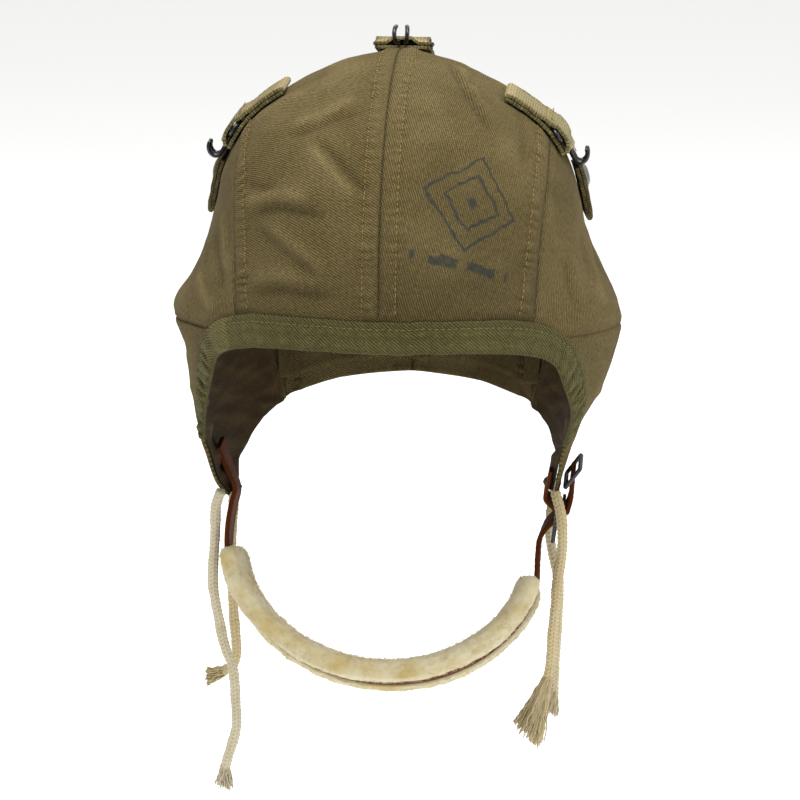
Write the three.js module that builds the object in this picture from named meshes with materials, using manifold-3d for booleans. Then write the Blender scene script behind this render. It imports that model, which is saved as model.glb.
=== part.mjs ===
// Cotton twill flying helmet with webbing hook tabs, leather chin strap and hanging cords.
// Millimetres, Z up. The face looks along -Y, and -X is the left of a view from the front.
// The origin is where the top of a head touches the inside of the crown.
import * as THREE from 'three';
import { mergeVertices } from 'three/addons/utils/BufferGeometryUtils.js';
import Module from 'manifold-3d';

const wasm = await Module();
wasm.setup();

// Driving dimensions
const clothWall = 1.6;
const liningWall = 1.0;
const liningGap = 0.8;
const bindingWall = 2.4;
const bindingProud = 0.7;
const gap = 0.3;
const webbing = { width: 25, ply: 1.5, back: 0.4, slot: 2.8, length: 38, slotLength: 15 };
const tabMouth = { sideZ: -41.5, topY: 27 };
const hook = { wire: 2.1, sides: 8, steps: 52 };
const snapStrap = { width: 18, ply: 1.4, y: 16, topZ: -40, footZ: -77 };
const snapCap = { radius: 6.2, height: 2.4 };
const strap = { width: 17, thickness: 2.2, steps: 96 };
const chape = { width: 16, thickness: 1.6 };
const frameBar = 2;
const cordDiameter = 4.8;
const cordSides = 8;

// Colours seen on the worn cloth, leather, steel and cotton
const finish = {
  twill: { color: '#7d6f4a', roughness: 0.9, metalness: 0 },
  tape: { color: '#54522c', roughness: 0.9, metalness: 0 },
  lining: { color: '#4b3d22', roughness: 0.95, metalness: 0 },
  webbing: { color: '#857c50', roughness: 0.95, metalness: 0 },
  enamel: { color: '#1b1c1e', roughness: 0.35, metalness: 0 },
  leather: { color: '#5a2614', roughness: 0.55, metalness: 0 },
  wool: { color: '#cdc39a', roughness: 1, metalness: 0 },
  cotton: { color: '#cfc6ad', roughness: 0.95, metalness: 0 },
  brassGreen: { color: '#7c8272', roughness: 0.5, metalness: 0.3 },
};

// Outer sections of the crown and flaps. drop is measured down from the highest point of the
// cloth, side is the half width, front and back are the reach either way from the ear line.
const crownTop = clothWall;
const sections = [
  { drop: 0, side: 0, front: 0, back: 0 },
  { drop: 0.5, side: 7, front: 8, back: 10 },
  { drop: 1.5, side: 12.5, front: 14, back: 17 },
  { drop: 3.5, side: 19, front: 23, back: 26 },
  { drop: 7, side: 28, front: 34, back: 37 },
  { drop: 12, side: 39, front: 45, back: 49 },
  { drop: 18, side: 50, front: 56, back: 60 },
  { drop: 25, side: 60.5, front: 65, back: 69.5 },
  { drop: 33, side: 69, front: 73.5, back: 78 },
  { drop: 43, side: 75.5, front: 81, back: 86 },
  { drop: 55, side: 81, front: 87, back: 93 },
  { drop: 68, side: 84, front: 91.5, back: 98 },
  { drop: 82, side: 87, front: 94.5, back: 101 },
  { drop: 95, side: 91.5, front: 96.5, back: 102 },
  { drop: 106, side: 96.5, front: 97.5, back: 101 },
  { drop: 116, side: 100.5, front: 98, back: 99.5 },
  { drop: 125, side: 101.5, front: 98, back: 98 },
  { drop: 138, side: 99.5, front: 98, back: 95 },
  { drop: 152, side: 96.5, front: 97.5, back: 91.5 },
  { drop: 168, side: 91.5, front: 96, back: 87 },
  { drop: 184, side: 86.5, front: 94, back: 82.5 },
  { drop: 208, side: 78, front: 91, back: 77 },
];

// Local swells and dents of the loose cloth: azimuth from the front in degrees, positive to +X,
// height, spread each way and how far the cloth stands out.
const swells = [
  { azimuth: -88, z: -117, acrossDeg: 26, alongMm: 9, out: 2.6 },
  { azimuth: 84, z: -122, acrossDeg: 30, alongMm: 22, out: 2.6 },
  { azimuth: -62, z: -100, acrossDeg: 7, alongMm: 26, out: -1.4 },
  { azimuth: 63, z: -122, acrossDeg: 9, alongMm: 7, out: -1.6 },
  { azimuth: -70, z: -16, acrossDeg: 50, alongMm: 13, out: 2.2 },
  { azimuth: 75, z: -13, acrossDeg: 40, alongMm: 10, out: -1.6 },
  { azimuth: -78, z: -176, acrossDeg: 26, alongMm: 19, out: 5.5 },
  { azimuth: 78, z: -178, acrossDeg: 26, alongMm: 17, out: -3.6 },
  { azimuth: -78, z: -200, acrossDeg: 24, alongMm: 13, out: 5 },
  { azimuth: 88, z: -198, acrossDeg: 12, alongMm: 10, out: -2.4 },
];

// Lower edge of the cloth from brow to nape, with the width of the edge tape on it.
const edge = [
  { azimuth: 0, z: -112, tape: 13 },
  { azimuth: 12, z: -112, tape: 13 },
  { azimuth: 24, z: -113, tape: 13 },
  { azimuth: 33, z: -115, tape: 13.4 },
  { azimuth: 40, z: -117.7, tape: 13.4 },
  { azimuth: 45, z: -121, tape: 13 },
  { azimuth: 49, z: -126, tape: 12.4 },
  { azimuth: 53, z: -135.5, tape: 11.4 },
  { azimuth: 57.5, z: -145.5, tape: 10.4 },
  { azimuth: 62, z: -155, tape: 9.2 },
  { azimuth: 66, z: -166, tape: 7 },
  { azimuth: 69.5, z: -178, tape: 4.4 },
  { azimuth: 74, z: -193, tape: 7 },
  { azimuth: 79, z: -202, tape: 7 },
  { azimuth: 86, z: -205, tape: 7 },
  { azimuth: 95, z: -205, tape: 7 },
  { azimuth: 106, z: -200, tape: 7 },
  { azimuth: 122, z: -190, tape: 7 },
  { azimuth: 138, z: -182, tape: 7 },
  { azimuth: 156, z: -178, tape: 7 },
  { azimuth: 180, z: -176, tape: 7 },
];
const tapeEndAzimuth = 68.5;

// Seam under the side panels, where the ear flaps are sewn on.
const flapSeam = [
  { azimuth: 46, z: -112 },
  { azimuth: 55, z: -114 },
  { azimuth: 62, z: -115.5 },
  { azimuth: 75, z: -118.5 },
  { azimuth: 90, z: -122.5 },
  { azimuth: 110, z: -131 },
  { azimuth: 135, z: -142 },
];
const flapBackAzimuth = 132;
const flapFootAzimuth = 82;

// The foot of the left flap hangs a little lower than the right one.
const leftFoot = { drop: 6, from: 71.5, fade: 5, to: 88, fadeOut: 14 };

// Seam between the centre and side panels, as the distance from the centre at each height.
const sideSeam = [
  { z: 6, x: 66.5 },
  { z: -14, x: 68.5 },
  { z: -30, x: 70 },
  { z: -45, x: 70 },
  { z: -56, x: 69 },
  { z: -78, x: 67.4 },
  { z: -100, x: 66.3 },
  { z: -112, x: 65.5 },
  { z: -136, x: 64 },
  { z: -200, x: 60 },
];

const degree = Math.PI / 180;

// Smooth curve through the rows of a table, read in one column against another.
function readTable(rows, key, value, at) {
  const rising = rows[rows.length - 1][key] > rows[0][key];
  const ordered = rising ? rows : [...rows].reverse();
  const last = ordered.length - 1;
  let low = 0;
  while (low < last - 1 && ordered[low + 1][key] <= at) low += 1;
  const high = low + 1;
  const slope = (i) => {
    const a = ordered[Math.max(i - 1, 0)];
    const b = ordered[Math.min(i + 1, last)];
    return (b[value] - a[value]) / (b[key] - a[key]);
  };
  const span = ordered[high][key] - ordered[low][key];
  const s = Math.min(Math.max((at - ordered[low][key]) / span, 0), 1);
  const s2 = s * s;
  const s3 = s2 * s;
  return (2 * s3 - 3 * s2 + 1) * ordered[low][value] + (s3 - 2 * s2 + s) * span * slope(low)
    + (3 * s2 - 2 * s3) * ordered[high][value] + (s3 - s2) * span * slope(high);
}

// The root of the drop runs evenly over the round top, where the drop itself does not.
const rootSections = sections.map((row) => ({ ...row, root: Math.sqrt(row.drop) }));

function reachAt(z) {
  const root = Math.sqrt(Math.max(crownTop - z, 0));
  return {
    side: readTable(rootSections, 'root', 'side', root),
    front: readTable(rootSections, 'root', 'front', root),
    back: readTable(rootSections, 'root', 'back', root),
  };
}

function swellAt(azimuth, z) {
  return swells.reduce((sum, swell) => {
    const turn = ((azimuth - swell.azimuth + 540) % 360) - 180;
    const across = turn / swell.acrossDeg;
    const along = (z - swell.z) / swell.alongMm;
    return sum + swell.out * Math.exp(-across * across - along * along);
  }, 0);
}

function outerPoint(azimuth, z) {
  const reach = reachAt(z);
  const s = Math.sin(azimuth * degree);
  const c = Math.cos(azimuth * degree);
  const swell = swellAt(azimuth, z);
  const forward = c > 0 ? reach.front : reach.back;
  return new THREE.Vector3((reach.side + swell) * s, -(forward + swell) * c, z);
}

function outerNormal(azimuth, z) {
  const low = Math.min(z, crownTop - 0.3);
  const alongTurn = outerPoint(azimuth + 0.5, low).sub(outerPoint(azimuth - 0.5, low));
  const alongDrop = outerPoint(azimuth, low - 0.25).sub(outerPoint(azimuth, low + 0.25));
  return alongDrop.cross(alongTurn).normalize();
}

// A point at a depth below the outer surface. Azimuth 0 to 180 is the +X half.
function clothPoint(azimuth, z, depth) {
  return outerPoint(azimuth, z).addScaledVector(outerNormal(azimuth, z), -depth);
}

// Solid from an outer and an inner grid of points with the same rows and columns.
function closedPatch(outer, inner) {
  const rows = outer.length;
  const columns = outer[0].length;
  const positions = [];
  [outer, inner].forEach((grid) => grid.forEach((row) => row.forEach((p) => positions.push(p.x, p.y, p.z))));
  const at = (layer, r, c) => layer * rows * columns + r * columns + c;
  const faces = [];
  const quad = (a, b, c, d) => faces.push(a, b, c, a, c, d);
  for (let r = 0; r + 1 < rows; r += 1) {
    for (let c = 0; c + 1 < columns; c += 1) {
      quad(at(0, r, c), at(0, r + 1, c), at(0, r + 1, c + 1), at(0, r, c + 1));
      quad(at(1, r, c), at(1, r, c + 1), at(1, r + 1, c + 1), at(1, r + 1, c));
    }
  }
  for (let c = 0; c + 1 < columns; c += 1) {
    quad(at(0, 0, c), at(0, 0, c + 1), at(1, 0, c + 1), at(1, 0, c));
    quad(at(0, rows - 1, c), at(1, rows - 1, c), at(1, rows - 1, c + 1), at(0, rows - 1, c + 1));
  }
  for (let r = 0; r + 1 < rows; r += 1) {
    quad(at(0, r, 0), at(1, r, 0), at(1, r + 1, 0), at(0, r + 1, 0));
    quad(at(0, r, columns - 1), at(0, r + 1, columns - 1), at(1, r + 1, columns - 1), at(1, r, columns - 1));
  }
  return facesOut(positions, faces);
}

function signedVolume(positions, faces) {
  const point = (i) => new THREE.Vector3().fromArray(positions, i * 3);
  let sum = 0;
  for (let f = 0; f < faces.length; f += 3) {
    sum += point(faces[f]).dot(point(faces[f + 1]).cross(point(faces[f + 2]))) / 6;
  }
  return sum;
}

function facesOut(positions, faces) {
  const outward = [...faces];
  if (signedVolume(positions, faces) < 0) {
    for (let f = 0; f < outward.length; f += 3) {
      [outward[f + 1], outward[f + 2]] = [outward[f + 2], outward[f + 1]];
    }
  }
  const geometry = new THREE.BufferGeometry();
  geometry.setAttribute('position', new THREE.Float32BufferAttribute(positions, 3));
  geometry.setIndex(outward);
  return geometry;
}

function toSolid(geometry) {
  const plain = geometry.clone();
  plain.deleteAttribute('normal');
  plain.deleteAttribute('uv');
  const merged = mergeVertices(plain, 1e-4);
  return new wasm.Manifold(new wasm.Mesh({
    numProp: 3,
    vertProperties: new Float32Array(merged.attributes.position.array),
    triVerts: new Uint32Array(merged.index.array),
  }));
}

function toGeometry(solid) {
  const mesh = solid.getMesh();
  const positions = [];
  for (let v = 0; v < mesh.vertProperties.length; v += mesh.numProp) {
    positions.push(mesh.vertProperties[v], mesh.vertProperties[v + 1], mesh.vertProperties[v + 2]);
  }
  const geometry = new THREE.BufferGeometry();
  geometry.setAttribute('position', new THREE.Float32BufferAttribute(positions, 3));
  geometry.setIndex([...mesh.triVerts]);
  return geometry;
}

// Inner line of the edge tape: the edge moved up the cloth by the tape's width.
function tapeLine(azimuth, extra) {
  const z = readTable(edge, 'azimuth', 'z', azimuth);
  const width = readTable(edge, 'azimuth', 'tape', azimuth) + extra;
  const step = 0.5;
  const here = outerPoint(azimuth, z);
  const ahead = outerPoint(azimuth + step, readTable(edge, 'azimuth', 'z', Math.min(azimuth + step, 180)));
  const behind = outerPoint(azimuth - step, readTable(edge, 'azimuth', 'z', Math.abs(azimuth - step)));
  const along = ahead.sub(behind).normalize();
  const up = along.clone().cross(outerNormal(azimuth, z)).normalize();
  if (up.z < 0) up.negate();
  const target = here.clone().addScaledVector(up, width);
  const perTurn = outerPoint(azimuth + step, z).sub(outerPoint(azimuth - step, z)).divideScalar(2 * step);
  const perRise = outerPoint(azimuth, z + step).sub(outerPoint(azimuth, z - step)).divideScalar(2 * step);
  const shift = target.sub(here);
  const uu = perTurn.dot(perTurn);
  const vv = perRise.dot(perRise);
  const uv = perTurn.dot(perRise);
  const det = uu * vv - uv * uv;
  const du = (shift.dot(perTurn) * vv - shift.dot(perRise) * uv) / det;
  const dv = (shift.dot(perRise) * uu - shift.dot(perTurn) * uv) / det;
  return { azimuth: azimuth + du, z: z + dv };
}

// Cut line of the cloth: inside the tape round the face, then the bare edge of flap and nape.
const tapeClearance = 0.6;
const tapeSampleStep = 1.5;
const tapeSamples = [];
for (let azimuth = 0; azimuth <= tapeEndAzimuth + 0.01; azimuth += tapeSampleStep) {
  tapeSamples.push(tapeLine(azimuth, tapeClearance));
}
const tapeEnd = tapeSamples[tapeSamples.length - 1];
const clothEdge = [...tapeSamples, ...edge.filter((row) => row.azimuth > tapeEnd.azimuth + 0.5)];

function clothEdgeZ(azimuth) {
  let i = 0;
  while (i < clothEdge.length - 2 && clothEdge[i + 1].azimuth < azimuth) i += 1;
  const a = clothEdge[i];
  const b = clothEdge[i + 1];
  return a.z + (b.z - a.z) * ((azimuth - a.azimuth) / (b.azimuth - a.azimuth));
}

function flapSeamZ(azimuth) {
  return readTable(flapSeam, 'azimuth', 'z', azimuth);
}

// Azimuth where the flap seam runs out under the tape.
function findSeamCorner() {
  let azimuth = flapSeam[0].azimuth;
  while (clothEdgeZ(azimuth) > flapSeamZ(azimuth)) azimuth += 0.05;
  return azimuth;
}
const seamCorner = findSeamCorner();

// Bottom of the crown: the tape at the brow, the flap seam at the sides, the hem at the nape.
function crownBottomZ(azimuth) {
  const turn = Math.abs(azimuth);
  return turn < seamCorner || turn > flapBackAzimuth ? clothEdgeZ(turn) : flapSeamZ(turn);
}

const crownColumns = [0, 8, 16, 24, 32, 40, 45.5, seamCorner, 56, 62, 69, 76, 83, 90, 98, 106, 115, 124,
  flapBackAzimuth, flapBackAzimuth + gap * 2, 141, 151, 161, 171, 180];
const crownRoots = [0.75, 1.4, 2.1, 2.9, 3.7, 4.6, 5.5, 6.5, 7.5, 8.5, 9.4];
const lowerRings = [0.34, 0.67, 1];

// Whole crown as one shell closed over the top, before it is cut along the seams.
function crownShell() {
  const turns = [...crownColumns, ...crownColumns.slice(1, -1).reverse().map((a) => -a)];
  const shoulder = crownTop - crownRoots[crownRoots.length - 1] ** 2;
  const ringHeight = (azimuth, r) => {
    if (r < crownRoots.length) return crownTop - crownRoots[r] ** 2;
    return shoulder + (crownBottomZ(azimuth) - shoulder) * lowerRings[r - crownRoots.length];
  };
  const positions = [];
  const faces = [];
  const ringCount = crownRoots.length + lowerRings.length;
  const around = turns.length;
  [0, clothWall].forEach((depth) => {
    positions.push(0, 0, crownTop - depth);
    for (let r = 0; r < ringCount; r += 1) {
      turns.forEach((azimuth) => {
        const p = clothPoint(azimuth, ringHeight(azimuth, r), depth);
        positions.push(p.x, p.y, p.z);
      });
    }
  });
  const layer = 1 + ringCount * around;
  const at = (l, r, c) => l * layer + 1 + r * around + (c % around);
  const end = ringCount - 1;
  for (let c = 0; c < around; c += 1) {
    faces.push(0, at(0, 0, c), at(0, 0, c + 1));
    faces.push(layer, at(1, 0, c + 1), at(1, 0, c));
    for (let r = 0; r < end; r += 1) {
      faces.push(at(0, r, c), at(0, r + 1, c), at(0, r + 1, c + 1));
      faces.push(at(0, r, c), at(0, r + 1, c + 1), at(0, r, c + 1));
      faces.push(at(1, r, c), at(1, r + 1, c + 1), at(1, r + 1, c));
      faces.push(at(1, r, c), at(1, r, c + 1), at(1, r + 1, c + 1));
    }
    faces.push(at(0, end, c), at(1, end, c), at(1, end, c + 1));
    faces.push(at(0, end, c), at(1, end, c + 1), at(0, end, c + 1));
  }
  return toSolid(facesOut(positions, faces));
}

// Region of space between two seams, as an outline in the X-Z plane run through front to back.
const seamTop = 30;
const seamFoot = -230;
const seamFar = 130;
const regionDepth = 320;

function seamRegion(inner, outer, mirror) {
  const outline = new THREE.Shape();
  [...inner, ...[...outer].reverse()].forEach(({ x, z }, i) => {
    if (i === 0) outline.moveTo(x * mirror, z);
    else outline.lineTo(x * mirror, z);
  });
  const prism = new THREE.ExtrudeGeometry(outline, { depth: regionDepth, bevelEnabled: false });
  prism.rotateX(Math.PI / 2);
  prism.translate(0, regionDepth / 2, 0);
  return toSolid(prism);
}

const seamHeights = [seamTop, 6, -10, -22, -33, -45, -58, -71, -84, -96, -108, -122, -140, -170, seamFoot];
const firstSeamRow = sideSeam[0].z;
const lastSeamRow = sideSeam[sideSeam.length - 1].z;
const sideSeamX = (z) => readTable(sideSeam, 'z', 'x', Math.min(Math.max(z, lastSeamRow), firstSeamRow));

function crownPanel(shell, isCentre, mirror) {
  const curved = (shift) => seamHeights.map((z) => ({ x: sideSeamX(z) + shift, z }));
  const straight = (x) => [{ x, z: seamTop }, { x, z: seamFoot }];
  const region = isCentre
    ? seamRegion(straight(gap / 2), curved(-gap / 2), mirror)
    : seamRegion(curved(gap / 2), straight(seamFar), mirror);
  return toGeometry(shell.intersect(region));
}

// Ear flap grid, blended from its four edges: the tape in front, the seam above, the crown
// behind and the cut edge below. inset draws all four in, in millimetres.
const flapRows = 13;
const flapColumns = 9;
const degreesPerMm = 0.62;
const seamGap = 0.5;

function smoothStep(at) {
  const w = Math.min(Math.max(at, 0), 1);
  return w * w * (3 - 2 * w);
}

function flapEdgeZ(azimuth, mirror) {
  const { drop, from, fade, to, fadeOut } = leftFoot;
  const share = smoothStep((azimuth - from) / fade) * (1 - smoothStep((azimuth - to) / fadeOut));
  return clothEdgeZ(azimuth) - (mirror < 0 ? drop * share : 0);
}

function flapFrontAt(z, mirror) {
  let azimuth = seamCorner;
  while (azimuth < flapFootAzimuth && flapEdgeZ(azimuth, mirror) > z) azimuth += 0.05;
  return azimuth;
}

function flapGrid(mirror, depth, inset) {
  const mix = (a, b, w) => a + (b - a) * w;
  const inward = (gap + inset) * degreesPerMm;
  const backAzimuth = flapBackAzimuth - inward;
  const footZ = flapEdgeZ(flapFootAzimuth, mirror) + inset;
  const cornerZ = flapSeamZ(seamCorner) - seamGap - inset;
  const front = (v) => {
    const z = mix(cornerZ, footZ, v);
    return { azimuth: flapFrontAt(z, mirror) + inset * degreesPerMm, z };
  };
  const back = (v) => ({
    azimuth: backAzimuth,
    z: mix(flapSeamZ(backAzimuth) - seamGap - inset, flapEdgeZ(backAzimuth, mirror) + inset, v),
  });
  const top = (u) => {
    const azimuth = mix(front(0).azimuth, backAzimuth, u);
    return { azimuth, z: flapSeamZ(azimuth) - seamGap - inset };
  };
  const bottom = (u) => {
    const azimuth = mix(front(1).azimuth, backAzimuth, u);
    return { azimuth, z: flapEdgeZ(azimuth, mirror) + inset };
  };
  const blend = (key, u, v) => mix(front(v)[key], back(v)[key], u) + mix(top(u)[key], bottom(u)[key], v)
    - mix(mix(top(0)[key], top(1)[key], u), mix(bottom(0)[key], bottom(1)[key], u), v);
  const grid = [];
  for (let r = 0; r <= flapRows; r += 1) {
    const row = [];
    for (let c = 0; c <= flapColumns; c += 1) {
      const u = c / flapColumns;
      const v = r / flapRows;
      row.push(clothPoint(blend('azimuth', u, v) * mirror, blend('z', u, v), depth));
    }
    grid.push(row);
  }
  return grid;
}

function earFlap(mirror) {
  return closedPatch(flapGrid(mirror, 0, 0), flapGrid(mirror, clothWall, 0));
}

const liningInset = 1.5;
const liningInner = clothWall + liningGap + liningWall;

function earLining(mirror) {
  const outer = flapGrid(mirror, liningInner - liningWall, liningInset);
  return closedPatch(outer, flapGrid(mirror, liningInner, liningInset));
}

// Edge tape round the face opening, folded over the cut edge of the cloth.
const tapeSteps = 44;

function faceBinding() {
  const turns = [];
  for (let i = -tapeSteps / 2; i <= tapeSteps / 2; i += 1) turns.push((tapeEndAzimuth * 2 * i) / tapeSteps);
  const side = (turn, mirror, isUpper, depth) => {
    const p = isUpper ? tapeLine(turn, 0) : { azimuth: turn, z: readTable(edge, 'azimuth', 'z', turn) };
    return clothPoint(p.azimuth * mirror, p.z, depth);
  };
  const layer = (depth) => [true, false].map((isUpper) => turns.map(
    (turn) => side(Math.abs(turn), Math.sign(turn), isUpper, depth)));
  return closedPatch(layer(-bindingProud), layer(bindingWall - bindingProud));
}

// A line in one plane with its running length, so that a point is found by how far along it
// lies and how high it stands off the line.
function surveyLine(points) {
  const lengths = [0];
  for (let i = 1; i < points.length; i += 1) {
    lengths.push(lengths[i - 1] + points[i].distanceTo(points[i - 1]));
  }
  const total = lengths[lengths.length - 1];
  return (along, height) => {
    const length = Math.min(Math.max(along, 0), total);
    let i = 0;
    while (i < points.length - 2 && lengths[i + 1] < length) i += 1;
    const tangent = points[i + 1].clone().sub(points[i]).normalize();
    const normal = new THREE.Vector2(-tangent.y, tangent.x);
    return points[i].clone().addScaledVector(tangent, along - lengths[i]).addScaledVector(normal, height);
  };
}

// Outline of a band of even thickness along a plane line.
function bandShape(points, thickness) {
  const normals = points.map((p, i) => {
    const a = points[Math.max(i - 1, 0)];
    const b = points[Math.min(i + 1, points.length - 1)];
    return new THREE.Vector2(-(b.y - a.y), b.x - a.x).normalize();
  });
  const side = (sign) => points.map((p, i) => p.clone().addScaledVector(normals[i], (sign * thickness) / 2));
  return new THREE.Shape([...side(1), ...side(-1).reverse()]);
}

// Plane outline run across a width. The outline's own axes are laid on two space directions.
function acrossBand(shape, width, xAxis, yAxis, centre) {
  const band = new THREE.ExtrudeGeometry(shape, { depth: width, bevelEnabled: false, curveSegments: 6 });
  band.translate(0, 0, -width / 2);
  const zAxis = xAxis.clone().cross(yAxis);
  band.applyMatrix4(new THREE.Matrix4().makeBasis(xAxis, yAxis, zAxis));
  band.translate(centre.x, centre.y, centre.z);
  return band;
}

// Line on the crown in the plane of a tab, from its fold to its mouth and on past it.
const lineStep = 2;

function sideTabLine(mirror, y, topZ, footZ) {
  const points = [];
  for (let z = topZ; z >= footZ; z -= lineStep) {
    const turn = (90 + Math.asin(y / reachAt(z).back) / degree) * mirror;
    points.push(new THREE.Vector2(Math.abs(outerPoint(turn, z).x), z));
  }
  return points;
}

function topTabLine() {
  const points = [];
  for (let root = 9; root >= 1; root -= 0.35) {
    const p = outerPoint(180, crownTop - root * root);
    points.push(new THREE.Vector2(-p.y, p.z));
  }
  return points;
}

// Webbing folded double, with a pocket for the wire at its open end.
function tabShape(at) {
  const { ply, back, slot, length, slotLength } = webbing;
  const lowMid = gap + ply / 2;
  const spread = (distance) => {
    return slot + (back - slot) * smoothStep((distance - slotLength) / 5);
  };
  const distances = [0, 4, 8, 12, 15, 17, 19, 21, 26, 31, length - 2];
  const lower = distances.map((d) => at(-d, lowMid));
  const fold = [at(-length + 0.9, lowMid + 0.3), at(-length + 0.5, lowMid + (ply + back) / 2),
    at(-length + 0.9, lowMid + ply + back - 0.3)];
  const upper = distances.map((d) => at(-d, lowMid + ply + spread(d))).reverse();
  return bandShape([...lower, ...fold, ...upper], ply);
}

// Wire of a hook: two prongs, their shanks, and the base that lies across inside the webbing.
// along runs out of the tab's mouth, height away from the cloth, lateral across the webbing.
const hookHalf = [
  { along: 4.6, lateral: 2.5, height: 6.9 },
  { along: 6.6, lateral: 2.8, height: 6.2 },
  { along: 8.4, lateral: 3.0, height: 4.2 },
  { along: 8.6, lateral: 2.9, height: 1.9 },
  { along: 6.8, lateral: 2.5, height: 0.2 },
  { along: 4.2, lateral: 2.0, height: -0.1 },
  { along: 1.0, lateral: 1.6, height: 0 },
  { along: -2.5, lateral: 1.6, height: 0 },
  { along: -4.6, lateral: 2.4, height: 0 },
  { along: -5.4, lateral: 5.5, height: 0 },
  { along: -5.6, lateral: 9.5, height: 0 },
  { along: -6.6, lateral: 12.4, height: 0 },
  { along: -8.8, lateral: 13.4, height: 0 },
  { along: -11.0, lateral: 12.4, height: 0 },
  { along: -12.0, lateral: 9.0, height: 0 },
];

function circleShape(diameter, sides) {
  const corner = (i) => {
    const turn = (i * 2 * Math.PI) / sides;
    return new THREE.Vector2(Math.cos(turn), Math.sin(turn)).multiplyScalar(diameter / 2);
  };
  return new THREE.Shape(Array.from({ length: sides }, (_, i) => corner(i)));
}

function wireTube(points, diameter, sides, steps) {
  const extrudePath = new THREE.CatmullRomCurve3(points, false, 'centripetal');
  const section = circleShape(diameter, sides);
  return new THREE.ExtrudeGeometry(section, { steps, bevelEnabled: false, extrudePath });
}

function wireHook(place) {
  const wireHeight = gap + webbing.ply + webbing.slot / 2;
  const half = (sign) => hookHalf.map((p) => place(p.along, p.height + wireHeight, p.lateral * sign));
  return wireTube([...half(-1), ...half(1).reverse()], hook.wire, hook.sides, hook.steps);
}

function hookTabs() {
  const up = new THREE.Vector3(0, 0, 1);
  sides.forEach(({ name, mirror }) => {
    const outward = new THREE.Vector3(mirror, 0, 0);
    const line = sideTabLine(mirror, 0, -2, tabMouth.sideZ - 8);
    const mouth = line.findIndex((p) => p.y <= tabMouth.sideZ);
    const at = measuredFrom(line, mouth);
    const band = acrossBand(tabShape(at), webbing.width, outward, up, new THREE.Vector3());
    addMesh(`hook_tab_${name}`, band, 'webbing');
    const place = (along, height, lateral) => {
      const p = at(along, height);
      return new THREE.Vector3(p.x * mirror, lateral, p.y);
    };
    addMesh(`wire_hook_${name}`, wireHook(place), 'enamel');
  });
  const line = topTabLine();
  const mouth = line.findIndex((p) => p.x >= -tabMouth.topY);
  const at = measuredFrom(line, mouth);
  const forward = new THREE.Vector3(0, -1, 0);
  const band = acrossBand(tabShape(at), webbing.width, forward, up, new THREE.Vector3());
  addMesh('hook_tab_top', band, 'webbing');
  const place = (along, height, lateral) => {
    const p = at(along, height);
    return new THREE.Vector3(lateral, -p.x, p.y);
  };
  addMesh('wire_hook_top', wireHook(place), 'enamel');
}

// Reads a line from one of its points, with heights on the outside of the cloth. Beyond the
// mouth the tab's own direction runs on straight.
function measuredFrom(line, index) {
  const kept = line.slice(0, index + 1);
  const at = surveyLine(kept);
  let start = 0;
  for (let i = 1; i < kept.length; i += 1) start += kept[i].distanceTo(kept[i - 1]);
  return (along, height) => at(start + along, height);
}

// Side tab: a strap stitched at its head, with its foot folded under, and the snap cap on it.
// It faces square off the cloth, a little behind the side.
const snapTurn = 8.5;
const snapFold = [
  { along: 3, lift: 1.7 },
  { along: 9, lift: 3 },
  { along: 16, lift: 4.2 },
  { along: 24, lift: 4.6 },
  { along: 31, lift: 4.8 },
  { along: 36, lift: 4.6 },
  { along: 38.6, lift: 3.6 },
  { along: 39.4, lift: 2.2 },
  { along: 38.4, lift: 0.9 },
  { along: 36, lift: 0.1 },
  { along: 30, lift: 0 },
  { along: 22, lift: 0 },
  { along: 14, lift: 0 },
];

function snapTabs() {
  const up = new THREE.Vector3(0, 0, 1);
  sides.forEach(({ name, mirror }) => {
    const outward = new THREE.Vector3(mirror, 0, 0);
    const { ply, y, topZ, footZ, width } = snapStrap;
    const line = sideTabLine(mirror, y, topZ, footZ - 6);
    const turn = snapTurn * mirror;
    const pivot = line[Math.floor(line.length / 2)].x * mirror;
    const settle = (geometry) => {
      geometry.translate(-pivot, -y, 0);
      geometry.rotateZ(turn * degree);
      return geometry.translate(pivot, y, 0);
    };
    const cloth = surveyLine(line);
    const mid = gap * 1.5 + ply / 2;
    const outer = snapFold.map((p) => cloth(p.along, mid + p.lift));
    const band = acrossBand(bandShape(outer, ply), width, outward, up, new THREE.Vector3(0, y, 0));
    addMesh(`snap_tab_${name}`, settle(band), 'webbing');
    const seat = outer[3].clone().sub(outer[2]).normalize();
    const face = new THREE.Vector2(-seat.y, seat.x);
    const centre = outer[2].clone().lerp(outer[3], 0.5).addScaledVector(face, ply / 2 + gap);
    addMesh(`snap_cap_${name}`, settle(domedCap(centre, face, mirror, y)), 'brassGreen');
  });
}

function domedCap(centre, face, mirror, y) {
  const { radius, height } = snapCap;
  const profile = [[0, 0], [radius, 0], [radius, 0.7], [radius * 0.86, height * 0.66],
    [radius * 0.5, height * 0.93], [0, height]].map(([r, h]) => new THREE.Vector2(r, h));
  const cap = new THREE.LatheGeometry(profile, 20);
  const axis = new THREE.Vector3(face.x * mirror, 0, face.y).normalize();
  cap.applyQuaternion(new THREE.Quaternion().setFromUnitVectors(new THREE.Vector3(0, 1, 0), axis));
  cap.translate(centre.x * mirror, y, centre.y);
  return cap;
}

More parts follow.
